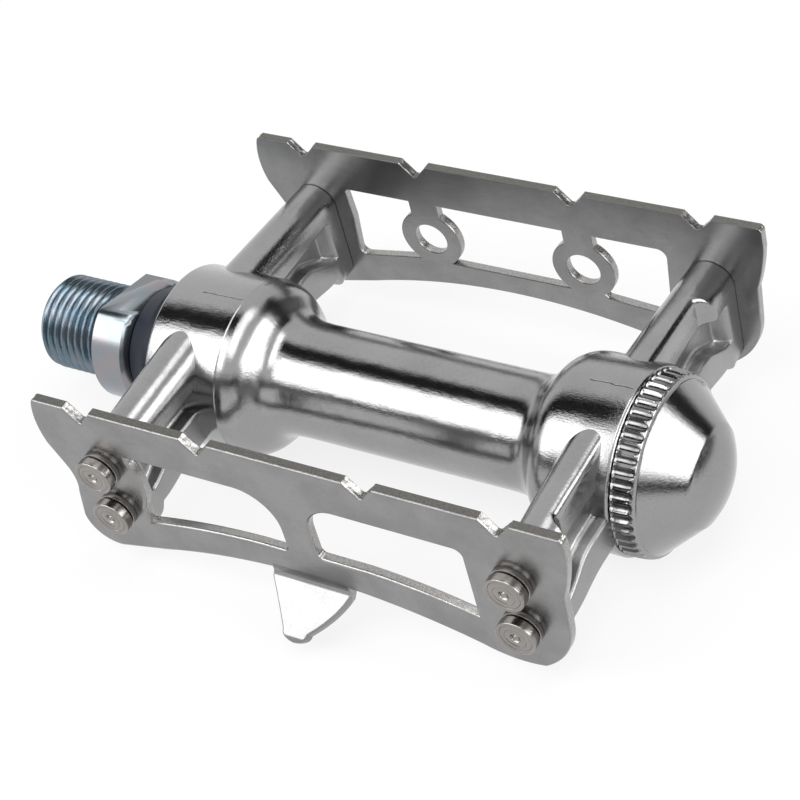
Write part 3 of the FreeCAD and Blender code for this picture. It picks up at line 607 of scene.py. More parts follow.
def curve(knots: Sequence[tuple[float, float]], step: float) -> list[tuple[float, float]]:
    """Return points on a smooth curve through knots.

    Args:
        knots: Points (along, radius) with rising along.
        step: Distance between the points, along the axis.

    Returns:
        Points (along, radius), the first and the last knot among them.
    """
    slopes = []
    for number in range(len(knots)):
        before, after = knots[max(0, number - 1)], knots[min(len(knots) - 1, number + 1)]
        slopes.append((after[1] - before[1]) / (after[0] - before[0]))
    points = [knots[0]]
    for (x0, y0), (x1, y1), m0, m1 in zip(knots, knots[1:], slopes, slopes[1:]):
        span = x1 - x0
        rows = max(1, round(span / step))
        for row in range(1, rows + 1):
            t = row / rows
            value = ((2 * t ** 3 - 3 * t ** 2 + 1) * y0 + (t ** 3 - 2 * t ** 2 + t) * span * m0
                     + (3 * t ** 2 - 2 * t ** 3) * y1 + (t ** 3 - t ** 2) * span * m1)
            points.append((x0 + span * t, value))
    return points


def rounded(corners: Sequence[tuple[float, float, float]], steps: int = 4,
            closed: bool = False) -> list[tuple[float, float]]:
    """Round the corners of an outline.

    Args:
        corners: Points (across, up, rounding). The rounding shrinks where a side is short.
        steps: Steps in one corner.
        closed: Whether the outline closes. The two ends of an open one stay as they are.

    Returns:
        Points (across, up), steps + 1 for each corner and 1 for each open end.
    """
    points = []
    count = len(corners)
    for number, (across, up, rounding) in enumerate(corners):
        here = Vector((across, up))
        if not closed and number in (0, count - 1):
            points.append((across, up))
            continue
        before = Vector(corners[number - 1][:2]) - here
        after = Vector(corners[(number + 1) % count][:2]) - here
        one = here + before.normalized() * min(rounding, 0.49 * before.length)
        two = here + after.normalized() * min(rounding, 0.49 * after.length)
        for step in range(steps + 1):
            t = step / steps
            points.append(tuple((1 - t) ** 2 * one + 2 * t * (1 - t) * here + t * t * two))
    return points


def lofted(shape: bmesh.types.BMesh, rings: Sequence[Sequence[Vector]], ends: bool = True) -> None:
    """Add a skin over closed rings of points.

    Args:
        shape: Form that it is added to.
        rings: Rings with the same number of points.
        ends: Whether the first and the last ring are closed by a face.
    """
    made = [[shape.verts.new(point) for point in ring] for ring in rings]
    count = len(made[0])
    for one, two in zip(made, made[1:]):
        for step in range(count):
            following = (step + 1) % count
            shape.faces.new((one[step], one[following], two[following], two[step]))
    if ends:
        shape.faces.new(made[0])
        shape.faces.new(made[-1])


def node_copy(node: str) -> bmesh.types.BMesh:
    """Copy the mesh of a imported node.

    Args:
        node: Name of the node.

    Returns:
        The copy, welded.
    """
    shape = bmesh.new()
    shape.from_mesh(frame["nodes"][node].data)
    bmesh.ops.remove_doubles(shape, verts=shape.verts, dist=0.5e-6)
    return shape


def dress_node(node: str, material: bpy.types.Material) -> None:
    """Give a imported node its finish.

    Args:
        node: Name of the node.
        material: Its finish.
    """
    mesh = frame["nodes"][node].data
    mesh.materials.clear()
    mesh.materials.append(material)


@dataclass
class CastArm:
    """One arm of the casting, from inside its knuckle out to the pad on a cage plate.

    Sizes are in millimetres.

    Args:
        at: Its centre along the spindle axis.
        width: Width at the pad.
        recess: Depth of the recess in the side towards the dust cap, or 0.
        side: 1 towards +Y and -1 towards -Y.
        reach: Distance of the pad face from the spindle axis.
        hidden: Radius in the knuckle wall at which the arm starts.
        web: Half the web between the side pockets.
        crown: Height of the crown over the spindle axis at the pad.
        draft: How far the crown rises towards the spindle axis.
        flare: How far each side spreads towards the spindle axis.
        recess_end: Distances from the spindle axis between which the recess runs out.
        recess_edge: Width of the rounding along the recess.
        ceiling: Height of the top of the side pockets.
        pocket_end: Distances from the spindle axis between which the side pockets run out.
        sill: Height of the bottom of the side pockets near the pad.
        under: Height of the underside near the spindle axis.
    """

    at: float
    width: float
    recess: float
    side: int
    reach: float = 28.65
    hidden: float = 12.3
    web: float = 1.2
    crown: float = 9.9
    draft: float = 1.8
    flare: float = 0.5
    recess_end: tuple[float, float] = (20.4, 22.7)
    recess_edge: float = 1.0
    ceiling: float = 5.2
    pocket_end: tuple[float, float] = (24.3, 25.9)
    sill: float = -1.2
    under: float = -3.4

    def section(self, out: float) -> list[tuple[float, float]]:
        """Draw the outline of the arm.

        Args:
            out: Distance from the spindle axis.

        Returns:
            Points (across, up), the same number at every distance.
        """
        lift = 1 - out / self.reach
        half = self.width / 2 + self.flare * lift
        middle = self.crown + self.draft * lift - half
        cut = self.recess * (1 - ramp(out, *self.recess_end))
        edge = self.recess_edge * min(1.0, cut)
        right = half - cut
        start = math.acos(min(1.0, right / half)) + edge / half
        steps = 24
        arc = []
        for step in range(steps + 1):
            angle = math.pi + (start - math.pi) * step / steps
            arc.append((half * math.cos(angle), middle + half * math.sin(angle)))
        run = (right - arc[-1][0]) / max(1e-6, math.sin(start))
        knee = max(arc[-1][1] - run * math.cos(start), self.ceiling + 1.2)
        low = knee - min(1.3 * edge, knee - self.ceiling - 0.6)
        bend = self._bend(arc[-1], (right, knee), (right, low))
        web = self.web + (half - self.web) * ramp(out, *self.pocket_end)
        web_right = min(web, right)
        sill = self.sill + 3.2 * ramp(out, 25.5, 17.5)
        under = self.under - 1.3 * ramp(out, 16.0, 24.0) - 2.9 * ramp(out, 24.2, 26.0)
        foot = 0.6 + (half - 0.6) * ramp(out, 24.8, 26.2)
        side = rounded([
            (right, low, 0), (right, self.ceiling, 0.6), (web_right, self.ceiling, 0.9),
            (web_right, sill, 0.9), (half, sill, 0.6), (half, under, foot), (-half, under, foot),
            (-half, sill, 0.6), (-web, sill, 0.9), (-web, self.ceiling, 0.9), (-half, self.ceiling, 0.6),
            (-half, middle, 0)])
        return arc + bend + side[1:-1]

    @staticmethod
    def _bend(one: tuple, knee: tuple, two: tuple, steps: int = 6) -> list[tuple[float, float]]:
        """Draw a parabola from one point round a knee to another.

        Args:
            one: First point, which is left out.
            knee: Point that it bends round.
            two: Last point.
            steps: Number of points.

        Returns:
            Points (across, up).
        """
        points = []
        for step in range(1, steps + 1):
            t = step / steps
            points.append(tuple((1 - t) ** 2 * a + 2 * t * (1 - t) * b + t * t * c
                                for a, b, c in zip(one, knee, two)))
        return points

    def build(self, shape: bmesh.types.BMesh) -> None:
        """Add the arm to a form.

        Args:
            shape: Form that it is added to.
        """
        outs = [6.0, 7.0, 8.0, 9.0, 10.0, 11.0, 12.0, 13.0, 14.5, 16.0, 17.5, 19.0, 20.0]
        outs += [20.0 + 0.25 * step for step in range(1, 26)]
        outs += [26.8, 27.6, 28.4, self.reach - 0.12]
        rings = []
        for out in outs:
            ring = []
            for across, up in self.section(out):
                wall = math.sqrt(max(0.0, self.hidden ** 2 - up ** 2))
                ring.append(Vector((self.at + across, self.side * max(out, wall), up)) * MM)
            rings.append(ring)
        middle, narrower, lower = 1.2, 0.97, 0.985
        rings.append([Vector((self.at + across * narrower, self.side * self.reach,
                              middle + (up - middle) * lower)) * MM
                      for across, up in self.section(self.reach)])
        lofted(shape, rings)


@dataclass
class Casting:
    """The pedal body: the hub with its two knuckles and the four arms.

    Sizes are in millimetres, along the spindle axis and from it.

    Args:
        segments: Steps round the hub.
        knuckle: Radius of the two knuckles.
        ends: Where the casting starts and ends.
        inner_flare: Knots of the flare between the inner knuckle and the barrel.
        outer_flare: Knots of the flare between the barrel and the outer knuckle.
        bore: Corners of the bore, from the inner to the outer end.
        arms: The arms.
        body: Body that the casting rides on.
    """

    segments: int = 288
    knuckle: float = 13.1
    ends: tuple[float, float] = (12.5, 86.8)
    inner_flare: tuple = ((25.0, 13.02), (26.0, 12.82), (27.1, 12.35), (28.1, 11.6), (28.9, 10.7),
                          (29.6, 9.85), (30.4, 9.15), (31.4, 8.7), (32.8, 8.42), (34.6, 8.3))
    outer_flare: tuple = ((68.4, 8.3), (70.0, 8.38), (71.3, 8.68), (72.3, 9.25), (73.1, 10.05),
                          (73.8, 11.0), (74.6, 11.85), (75.6, 12.5), (76.8, 12.93), (78.2, 13.1))
    bore: tuple = ((12.5, 11.38), (19.43, 11.38), (19.43, 9.7), (27.9, 6.4), (71.1, 6.4), (79.57, 8.6),
                   (79.57, 10.28), (84.4, 10.28), (84.4, 11.6), (86.8, 11.6))
    arms: tuple[CastArm, ...] = (
        CastArm(17.9, 6.8, 0.0, -1), CastArm(17.9, 6.8, 0.0, 1),
        CastArm(83.1, 7.0, 1.9, -1), CastArm(83.1, 7.0, 1.9, 1),
    )
    body: str = "pedal_group"

    def outside(self) -> list[tuple[float, float]]:
        """Draw the outside of the hub.

        Returns:
            Points (along, radius) from the inner to the outer end face.
        """
        start, stop = self.ends
        top = self.knuckle
        points = [(start, top - 0.7), (start + 0.08, top - 0.38), (start + 0.28, top - 0.12)]
        points.append((start + 0.6, top))
        points += [(24.6, top - 0.02), (24.74, top), (24.84, top), (24.92, top - 0.04)]
        points += curve(self.inner_flare, FLARE_STEP)
        points += curve(self.outer_flare, FLARE_STEP)
        points += [(stop - 0.45, top), (stop - 0.2, top - 0.08), (stop - 0.04, top - 0.26)]
        points.append((stop, top - 0.5))
        return points

    def build(self) -> None:
        """Make the casting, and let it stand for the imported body."""
        shape = bmesh.new()
        ring = self.outside() + list(reversed(self.bore))
        rings = []
        for step in range(self.segments):
            angle = TURN * step / self.segments
            rings.append([round_x(along, radius, angle) * MM for along, radius in ring])
        lofted(shape, rings + rings[:1], ends=False)
        bmesh.ops.remove_doubles(shape, verts=shape.verts, dist=0.2e-6)
        for arm in self.arms:
            arm.build(shape)
        piece = new_piece("cast_body", shape, CASTING.build(), 32.0)
        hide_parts("pedal_body")
        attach(piece, self.body)
        LOG.info("cast_body: %d faces", len(piece.data.polygons))


@dataclass
class CagePlate:
    """A cage plate with the rolled edge that stamping leaves on its outer face.

    Args:
        node: Packed plate whose outlines it follows.
        side: 1 towards +Y and -1 towards -Y.
        roll: Radius of the rolled edges of the outer face.
        burr: Broken edge of the inner face.
        spacing: Longest step along an outline.
        thickness: Thickness of the sheet.
        tear: Depth of the torn notch faces.
        top: Height of the teeth.
        notch: Depth of the notches, with a little under them.
        plain_hole: Width up to which a hole, such as a rivet's, keeps its sharp edges.
        body: Body that the plate rides on.
    """

    node: str
    side: int
    roll: float = 0.42 * MM
    burr: float = 0.12 * MM
    spacing: float = 0.3 * MM
    thickness: float = 1.5 * MM
    tear: float = 0.22 * MM
    top: float = 17.45 * MM
    notch: float = 2.75 * MM
    plain_hole: float = 4.6 * MM
    body: str = "pedal_group"

    def inner_plane(self) -> float:
        """Return where the inner face lies along Y."""
        low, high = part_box(self.node)
        return low.y if self.side > 0 else high.y

    def outlines(self) -> list[list[Vector]]:
        """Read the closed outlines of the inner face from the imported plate.

        Returns:
            Loops of points (along, up), the largest first, with the sheet on the left of each.
        """
        shape = node_copy(self.node)
        plane = self.inner_plane()
        flat = {face for face in shape.faces
                if all(abs(vert.co.y - plane) < 1e-6 for vert in face.verts)}
        rim = [edge for edge in shape.edges if len(flat.intersection(edge.link_faces)) == 1]
        linked = {}
        for edge in rim:
            for vert in edge.verts:
                linked.setdefault(vert, []).append(edge)
        left = set(rim)
        loops = []
        while left:
            edge = left.pop()
            vert = edge.verts[0]
            loop = []
            while True:
                loop.append(Vector((vert.co.x, vert.co.z)))
                vert = edge.other_vert(vert)
                onward = [other for other in linked[vert] if other in left]
                if not onward:
                    break
                edge = onward[0]
                left.remove(edge)
            loops.append(loop)
        shape.free()
        loops.sort(key=lambda loop: -abs(self._area(loop)))
        for number, loop in enumerate(loops):
            if (self._area(loop) > 0) != (number == 0):
                loop.reverse()
        return [self._divided(loop) for loop in loops]

    @staticmethod
    def _area(loop: Sequence[Vector]) -> float:
        """Return the signed area inside a loop."""
        return sum(one.x * two.y - two.x * one.y for one, two in zip(loop, [*loop[1:], loop[0]])) / 2

    def _divided(self, loop: Sequence[Vector]) -> list[Vector]:
        """Divide the long steps of a loop.

        Args:
            loop: Closed loop of points.

        Returns:
            The loop with no step longer than the spacing.
        """
        points = []
        for one, two in zip(loop, [*loop[1:], loop[0]]):
            rows = max(1, math.ceil((two - one).length / self.spacing))
            points += [one.lerp(two, row / rows) for row in range(rows)]
        return points

    @staticmethod
    def _inward(loop: Sequence[Vector]) -> list[Vector]:
        """Find the way into the sheet.

        Args:
            loop: Closed loop of points.

        Returns:
            For each point the vector that moves it one unit into the sheet.
        """
        moves = []
        for number, here in enumerate(loop):
            before = (here - loop[number - 1]).normalized()
            after = (loop[(number + 1) % len(loop)] - here).normalized()
            one, two = Vector((-before.y, before.x)), Vector((-after.y, after.x))
            moves.append((one + two) / max(0.5, 1 + one.dot(two)))
        return moves

    def depths(self, rounded_edge: bool) -> list[tuple[float, float]]:
        """Draw the section of an edge.

        Args:
            rounded_edge: Whether it is rolled, or plain as in a rivet hole.

        Returns:
            Rows (through the sheet, into it) from the inner to the outer face.
        """
        if not rounded_edge:
            return [(0.0, 0.0), (self.thickness, 0.0)]
        rows = [(0.0, self.burr + INSET * MM), (0.0, self.burr), (0.3 * self.burr, 0.3 * self.burr),
                (self.burr, 0.0)]
        wall = self.thickness - self.roll
        count = 5
        rows += [(self.burr + (wall - self.burr) * row / count, 0.0) for row in range(1, count + 1)]
        for step in range(1, count + 1):
            angle = math.pi / 2 * step / count
            rows.append((wall + self.roll * math.sin(angle), self.roll * (1 - math.cos(angle))))
        rows.append((self.thickness, self.roll + INSET * MM))
        return rows

    def torn(self, point: Vector, inward: Vector, through: float) -> float:
        """Tear the sheared edge along the teeth.

        Args:
            point: Point (along, up) of the outline.
            inward: Way into the sheet there.
            through: Distance from the inner face.

        Returns:
            How far the shear tore in, and 0 away from the teeth.
        """
        if point.y < self.top - self.notch:
            return 0.0
        spot = Vector((point.x, through, point.y)) / MM
        slanted = 0.3 < abs(inward.y) < 0.93
        coarse = 0.5 + 0.5 * noise.noise(spot * 1.9)
        fine = 0.5 + 0.5 * noise.noise(spot * 5.0)
        if slanted:
            return self.tear * (0.65 * coarse + 0.35 * fine)
        return 0.05 * MM * fine * abs(inward.y)

    def rim(self, shape: bmesh.types.BMesh, loop: Sequence[Vector],
            rounded_edge: bool) -> tuple[list, list]:
        """Add the wall along one outline.

        Args:
            shape: Form that it is added to.
            loop: The outline.
            rounded_edge: Whether its edges are rolled.

        Returns:
            Its edges on the inner and on the outer face.
        """
        plane = self.inner_plane()
        moves = self._inward(loop)
        rows = []
        for through, into in self.depths(rounded_edge):
            row = []
            fade = math.sin(math.pi * through / self.thickness) if rounded_edge else 0.0
            for point, move in zip(loop, moves):
                cut = into + self.torn(point, move, through) * fade ** 0.5
                spot = point + move * cut
                row.append(shape.verts.new((spot.x, plane + self.side * through, spot.y)))
            rows.append(row)
        for one, two in zip(rows, rows[1:]):
            for step in range(len(loop)):
                following = (step + 1) % len(loop)
                shape.faces.new((one[step], one[following], two[following], two[step]))
        return tuple([shape.edges.get((row[step - 1], row[step])) for step in range(len(row))]
                     for row in (rows[0], rows[-1]))

    def fill(self, shape: bmesh.types.BMesh) -> None:
        """Make the sheet.

        Args:
            shape: Form that it is added to.
        """
        inner, outer = [], []
        for loop in self.outlines():
            spread = max(point.x for point in loop) - min(point.x for point in loop)
            low, high = self.rim(shape, loop, spread > self.plain_hole)
            inner += low
            outer += high
        for edges in (inner, outer):
            bmesh.ops.triangle_fill(shape, edges=edges, use_beauty=True, normal=(0.0, 1.0, 0.0))

    def build(self) -> None:
        """Make the plate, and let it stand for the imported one."""
        shape = bmesh.new()
        self.fill(shape)
        self.extras(shape)
        piece = new_piece(f"stamped_{self.node}", shape, PLATE.build(), 32.0)
        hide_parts(self.node)
        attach(piece, self.body)
        LOG.info("%s: %d faces", piece.name, len(piece.data.polygons))

    def extras(self, shape: bmesh.types.BMesh) -> None:
        """Add nothing: a plain plate has no tab."""


@dataclass
class TabbedPlate(CagePlate):
    """The plate with the tab that the foot finds first, bent out of its lower edge.

    Sizes of the tab are in millimetres.

    Args:
        tab_at: Middle of the tab along the spindle axis.
        half_width: Half its width at the bend.
        tip: Half its width near the tip.
        length: Its straight length.
        tip_length: Length of its round tip.
        bend: Angle of the bend in degrees.
        inside: Inside radius of the bend.
        root: Height at which the bend starts.
        lean: How far the tip leans towards the crank.
        bows: Bulge of the crank side and of the cap side.
    """

    tab_at: float = 49.8
    half_width: float = 6.3
    tip: float = 2.1
    length: float = 7.9
    tip_length: float = 1.5
    bend: float = 54.0
    inside: float = 1.0
    root: float = -4.65
    lean: float = 0.5
    bows: tuple[float, float] = (-0.05, 0.6)

    def sides_at(self, along: float) -> tuple[float, float]:
        """Draw the tab's two sides.

        Args:
            along: Distance along its straight part.

        Returns:
            Where the crank side and the cap side lie from its middle.
        """
        if along <= 0:
            return -self.half_width, self.half_width
        shoulder = self.length - self.tip_length
        share = min(1.0, along / shoulder)
        bow = 4 * share * (1 - share)
        half = self.half_width + (self.tip - self.half_width) * share
        if along > shoulder:
            half *= math.sqrt(max(0.0, 1 - ((along - shoulder) / self.tip_length) ** 2))
        centre = -self.lean * share
        return centre - half - self.bows[0] * bow, centre + half + self.bows[1] * bow

    def extras(self, shape: bmesh.types.BMesh) -> None:
        """Add the tab.

        Args:
            shape: Form that it is added to.
        """
        sheet = self.thickness / MM
        face = self.inner_plane() / MM
        hinge = face - sheet - self.inside
        radius = self.inside + sheet / 2
        stations = [(face - sheet / 2, self.root + 1.2, 0.0, 0.0)]
        steps = 12
        for step in range(steps + 1):
            angle = math.radians(self.bend * step / steps)
            y, z = hinge + radius * math.cos(angle), self.root - radius * math.sin(angle)
            stations.append((y, z, angle, 0.0))
        y0, z0, angle, _ = stations[-1]
        alongs = [0.4 * step for step in range(1, 17)]
        alongs += [6.6, 6.8, 7.0, 7.2, 7.4, 7.55, 7.68, 7.78, 7.86, self.length - 0.01]
        for along in alongs:
            stations.append((y0 - along * math.sin(angle), z0 - along * math.cos(angle), angle, along))
        rings = []
        for y, z, angle, along in stations:
            left, right = self.sides_at(along)
            thick = sheet / 2 - 0.35 * ramp(along, 7.2, self.length)
            corners = [(left, -thick, 0.2), (right, -thick, 0.2),
                       (right, thick, 0.45), (left, thick, 0.45)]
            rings.append([
                Vector((self.tab_at + across, y - up * math.cos(angle), z + up * math.sin(angle))) * MM
                for across, up in rounded(corners, 5, closed=True)])
        lofted(shape, rings)


@dataclass
class CageRivets:
    """The eight rivets that hold the cage plates to the arms.

    Args:
        segments: Steps round a head.
        flange: Thickness of the flange under the head, in millimetres.
        groove: Depth of the groove between the two tiers, in millimetres.
        rounding: Rounding of the upper disc, in millimetres.
        disc_share: Radius of the upper disc over the radius of the flange.
        body: Body that the rivets ride on.
    """

    segments: int = 64
    flange: float = 0.8
    groove: float = 0.5
    rounding: float = 0.22
    disc_share: float = 0.99
    body: str = "pedal_group"

    def centres(self) -> list[tuple[Vector, float, float]]:
        """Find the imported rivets.

        Returns:
            Each rivet's tip, its outward sign along Y and its head radius.
        """
        shape = node_copy("cage_rivets")
        left = set(shape.verts)
        found = []
        while left:
            front = [left.pop()]
            island = list(front)
            while front:
                vert = front.pop()
                for edge in vert.link_edges:
                    other = edge.other_vert(vert)
                    if other in left:
                        left.remove(other)
                        front.append(other)
                        island.append(other)
            found.append(self._measure(island))
        shape.free()
        return sorted(found, key=lambda rivet: (rivet[0].y, rivet[0].x, rivet[0].z))

    @staticmethod
    def _measure(island: Sequence[bmesh.types.BMVert]) -> tuple[Vector, float, float]:
        """Measure one packed rivet.

        Args:
            island: Its vertices.

        Returns:
            Its tip, its outward sign along Y and its head radius.
        """
        spots = [vert.co for vert in island]
        low = Vector([min(spot[i] for spot in spots) for i in range(3)])
        high = Vector([max(spot[i] for spot in spots) for i in range(3)])
        sign = 1.0 if low.y > 0 else -1.0
        tip = high.y if sign > 0 else low.y
        return Vector(((low.x + high.x) / 2, tip, (low.z + high.z) / 2)), sign, (high.x - low.x) / 2

    def profile(self, radius: float, plate_gap: float) -> list[tuple[float, float]]:
        """Return the outline of a head from its crown, which lies at 0, down into the plate.

        Args:
            radius: Radius of the flange.
            plate_gap: Height of the whole head over the plate.

        Returns:
            Points (depth under the crown, radius).
        """
        disc = radius / MM * self.disc_share
        points = [(0.13, 0.0), (0.15, 0.3), (0.24, 0.42), (0.42, 0.5), (0.42, 0.62), (0.14, 0.78)]
        for middle in (0.55 * disc, 0.8 * disc):
            points += [(0.11, middle - 0.09), (0.19, middle), (0.1, middle + 0.09)]
        points.append((0.02, disc - 0.34))
        steps = 4
        for step in range(steps + 1):
            angle = math.pi / 2 * step / steps
            into, out = 1 - math.cos(angle), 1 - math.sin(angle)
            points.append((self.rounding * into, disc - self.rounding * out))
        wide, seat = radius / MM, plate_gap / MM
        lower, waist = seat - self.flange, disc - self.groove
        points += [(lower - 0.28, disc), (lower - 0.2, waist), (lower, waist),
                   (lower + 0.03, wide - 0.12), (lower + 0.12, wide), (seat - 0.05, wide),
                   (seat + 0.02, wide - 0.08), (seat + 0.02, 0.0)]
        return [(depth * MM, out * MM) for depth, out in points]

    def build(self) -> None:
        """Make the eight heads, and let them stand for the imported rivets."""
        plate_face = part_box("front_cage_plate")[1].y
        shape = bmesh.new()
        for number, (tip, sign, radius) in enumerate(self.centres()):
            spin = Matrix.Rotation(0.7 * number, 4, "X")
            turn = Matrix.Rotation(-sign * math.pi / 2, 4, "Z")
            place = Matrix.Translation(tip) @ turn @ spin
            turned(shape, self.profile(radius, abs(tip.y) - plate_face), self.segments, place)
        piece = new_piece("rivet_heads", shape, RIVET.build(), 50.0)
        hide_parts("cage_rivets")
        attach(piece, self.body)
        LOG.info("rivet_heads: %d faces", len(piece.data.polygons))


@dataclass
class DustCap:
    """The screwed dust cap: a band of scooped flutes, a straight cone and a domed end.

    Sizes are in millimetres, along the axis from the body and from the axis.

    Args:
        flutes: Flutes round the band.
        flute_depth: Depth of a flute.
        flute_share: Share of the pitch that a flute takes up.
        band_length: Length of the band.
        shoulder: Radius down to which the flutes cut.
        cone: Corners of the cone, where it leaves the band and where it meets the end.
        dome_radius: Radius of the domed end.
        steps: Mesh steps in one flute.
        body: Body that the cap rides on.
    """

    flutes: int = 50
    flute_depth: float = 0.48
    flute_share: float = 0.9
    band_length: float = 3.25
    shoulder: float = 11.95
    cone: tuple = ((3.5, 11.85), (8.6, 7.05))
    dome_radius: float = 12.6
    steps: int = 14
    body: str = "pedal_group"

    def cut(self, start: float) -> Callable[[float, float, float], float]:
        """Cut the flutes of the band.

        Args:
            start: Where the band starts along the spindle axis.

        Returns:
            The depth at (along, radius, angle).
        """

        def depth(along: float, radius: float, angle: float) -> float:
            """Cut a scoop with a round end towards the cone.

            Args:
                along: Place along the spindle axis.
                radius: Radius before the cut.
                angle: Angle round the axis.

            Returns:
                The depth in metres.
            """
            into = (along - start) / MM
            if into < 0 or into > self.band_length or radius < self.shoulder * MM:
                return 0.0
            turn = (angle * self.flutes / TURN + self.flutes * 0.75) % 1.0
            across = (min(turn, 1 - turn) * 2) / self.flute_share
            end = max(0.0, (into - (self.band_length - 0.95)) / 0.85)
            mouth = max(0.0, (0.3 - into) / 0.3)
            room = 1 - across ** 2 - end ** 2 - mouth ** 2
            return self.flute_depth * MM * max(0.0, room) ** 0.6

        return depth

    def profile(self, band_radius: float, length: float) -> list[tuple[float, float]]:
        """Draw the outline of the cap.

        Args:
            band_radius: Radius of the band.
            length: Length of the whole cap.

        Returns:
            Points (along, radius) from its seat on the body to the crown.
        """
        top, length_of_band = band_radius, self.band_length
        points = [(0.0, 0.0), (0.0, top - 0.35), (0.03, top - 0.12), (0.1, top - 0.03)]
        rows = 18
        for share in (row / rows for row in range(rows + 1)):
            points.append((0.2 + (length_of_band - 0.35) * share, top - 0.02 - 0.3 * share ** 3))
        (foot, wide), (edge, narrow) = self.cone
        points += [(length_of_band - 0.05, top - 0.42), (length_of_band + 0.02, wide + 0.16),
                   (length_of_band + 0.1, wide + 0.03), (foot - 0.05, wide + 0.01)]
        rows = 14
        points += [(foot + (edge - foot) * row / rows, wide + (narrow - wide) * row / rows)
                   for row in range(rows + 1)]
        centre = length - self.dome_radius
        rows = 16
        for row in range(rows + 1):
            radius = (narrow - 0.24) * (1 - row / rows)
            points.append((centre + math.sqrt(self.dome_radius ** 2 - radius ** 2), radius))
        return points

    def build(self) -> None:
        """Make the cap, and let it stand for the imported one."""
        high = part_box("dust_cap")[1]
        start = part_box("pedal_body")[1].x
        shape = bmesh.new()
        band_radius = max(high.y, high.z) / MM
        profile = [(start + along * MM, radius * MM)
                   for along, radius in self.profile(band_radius, (high.x - start) / MM)]
        turned(shape, profile, self.flutes * self.steps, dent=self.cut(start))
        piece = new_piece("fluted_dust_cap", shape, CHROME.build(), 28.0)
        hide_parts("dust_cap")
        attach(piece, self.body)
        LOG.info("fluted_dust_cap: %d faces", len(piece.data.polygons))


@dataclass
class CrankSpindle:
    """The spindle with its crank thread cut in.

    Args:
        pitch: Pitch of the crank thread.
        crest_radius: Radius over the thread crests.
        depth: Depth of the thread.
        lead_in: Length of the chamfer at the free end.
        runout: Length over which the thread runs out at the collar.
        centre_hole: Rings (depth, radius) of the centre hole in the free end.
        round_steps: Steps round the thread.
        pitch_steps: Steps in one pitch.
        body: Body that the spindle is.
    """

    pitch: float = 1.27 * MM
    crest_radius: float = 7.144 * MM
    depth: float = 0.72 * MM
    lead_in: float = 0.9 * MM
    runout: float = 0.9 * MM
    centre_hole: tuple = ((0.0, 1.6 * MM), (1.1 * MM, 0.5 * MM))
    round_steps: int = 120
    pitch_steps: int = 14
    body: str = "spindle_group"

    def height(self, phase: float) -> float:
        """Draw the thread.

        Args:
            phase: Turns from a crest.

        Returns:
            The depth under the crest, level on crests and roots.
        """
        wave = abs((phase % 1.0) * 2 - 1)
        return self.depth * min(1.0, max(0.0, (wave - 0.12) / 0.76))

    def thread(self, shape: bmesh.types.BMesh, end: float) -> None:
        """Add the thread.

        Args:
            shape: Form that it is added to.
            end: Where its free end lies. The collar face lies at 0.
        """
        rows = int(-end / self.pitch * self.pitch_steps)
        rings = []
        for row in range(rows + 1):
            along = end * (1 - row / rows)
            ring = []
            for step in range(self.round_steps):
                angle = TURN * step / self.round_steps
                cut = self.height(along / self.pitch + angle / TURN)
                full = max(0.0, 1 - max(0.0, along + self.runout) / self.runout)
                cut = cut * full + (1 - full) * self.depth * 0.9
                lead = max(0.0, self.lead_in - (along - end)) * 0.9
                radius = min(self.crest_radius - cut, self.crest_radius - lead)
                ring.append(shape.verts.new(round_x(along, radius, angle)))
            rings.append(ring)
        for one, two in zip(rings, rings[1:]):
            for step in range(self.round_steps):
                following = (step + 1) % self.round_steps
                shape.faces.new((one[step], two[step], two[following], one[following]))
        self._close_end(shape, rings[0], end)

    def _close_end(self, shape: bmesh.types.BMesh, ring: list, end: float) -> None:
        """Close the free end with a flat face and a centre hole.

        Args:
            shape: Form that it is added to.
            ring: Vertices of the last ring of the thread.
            end: Where they lie.
        """
        inner = [[shape.verts.new(round_x(end + depth, radius, TURN * step / self.round_steps))
                  for step in range(self.round_steps)] for depth, radius in self.centre_hole]
        rows = [ring, *inner]
        for one, two in zip(rows, rows[1:]):
            for step in range(self.round_steps):
                following = (step + 1) % self.round_steps
                shape.faces.new((one[step], one[following], two[following], two[step]))
        shape.faces.new(inner[-1])

    def build(self) -> None:
        """Make the threaded spindle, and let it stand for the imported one."""
        shape = node_copy("spindle")
        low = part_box("spindle")[0]
        plain = [vert for vert in shape.verts if vert.co.x < -0.01 * MM]
        bmesh.ops.delete(shape, geom=plain, context="VERTS")
        self.thread(shape, low.x)
        piece = new_piece("threaded_spindle", shape, ZINC.build(), 35.0)
        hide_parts("spindle")
        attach(piece, self.body)
        LOG.info("threaded_spindle: %d faces", len(piece.data.polygons))


@dataclass
class PlainPieces:
    """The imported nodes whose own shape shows, each with its finish.

    Args:
        finishes: Nodes of each finish. The bearing balls come on top.
    """

    finishes: dict = field(default_factory=lambda: {
        SEAL: ("dust_seal",),
        BEARING: ("inner_bearing_cup", "outer_bearing_cup", "outer_cone", "lock_washer", "lock_nut"),
    })

    def build(self) -> None:
        """Dress the nodes, the bearing balls among them."""
        for finish, nodes in self.finishes.items():
            material = finish.build()
            for node in nodes:
                dress_node(node, material)
                LOG.info("%s: %s", node, finish.name)
        steel = BALL.build()
        for node in frame["nodes"]:
            if "_ball_" in node:
                dress_node(node, steel)


def heading(azimuth: float, elevation: float) -> Vector:
    """Return a unit vector away from the object.

    Args:
        azimuth: Degrees from -Y towards +X.
        elevation: Degrees over the horizon.

    Returns:
        The vector.
    """
    turn, rise = math.radians(azimuth), math.radians(elevation)
    return Vector((math.sin(turn) * math.cos(rise), -math.cos(turn) * math.cos(rise), math.sin(rise)))


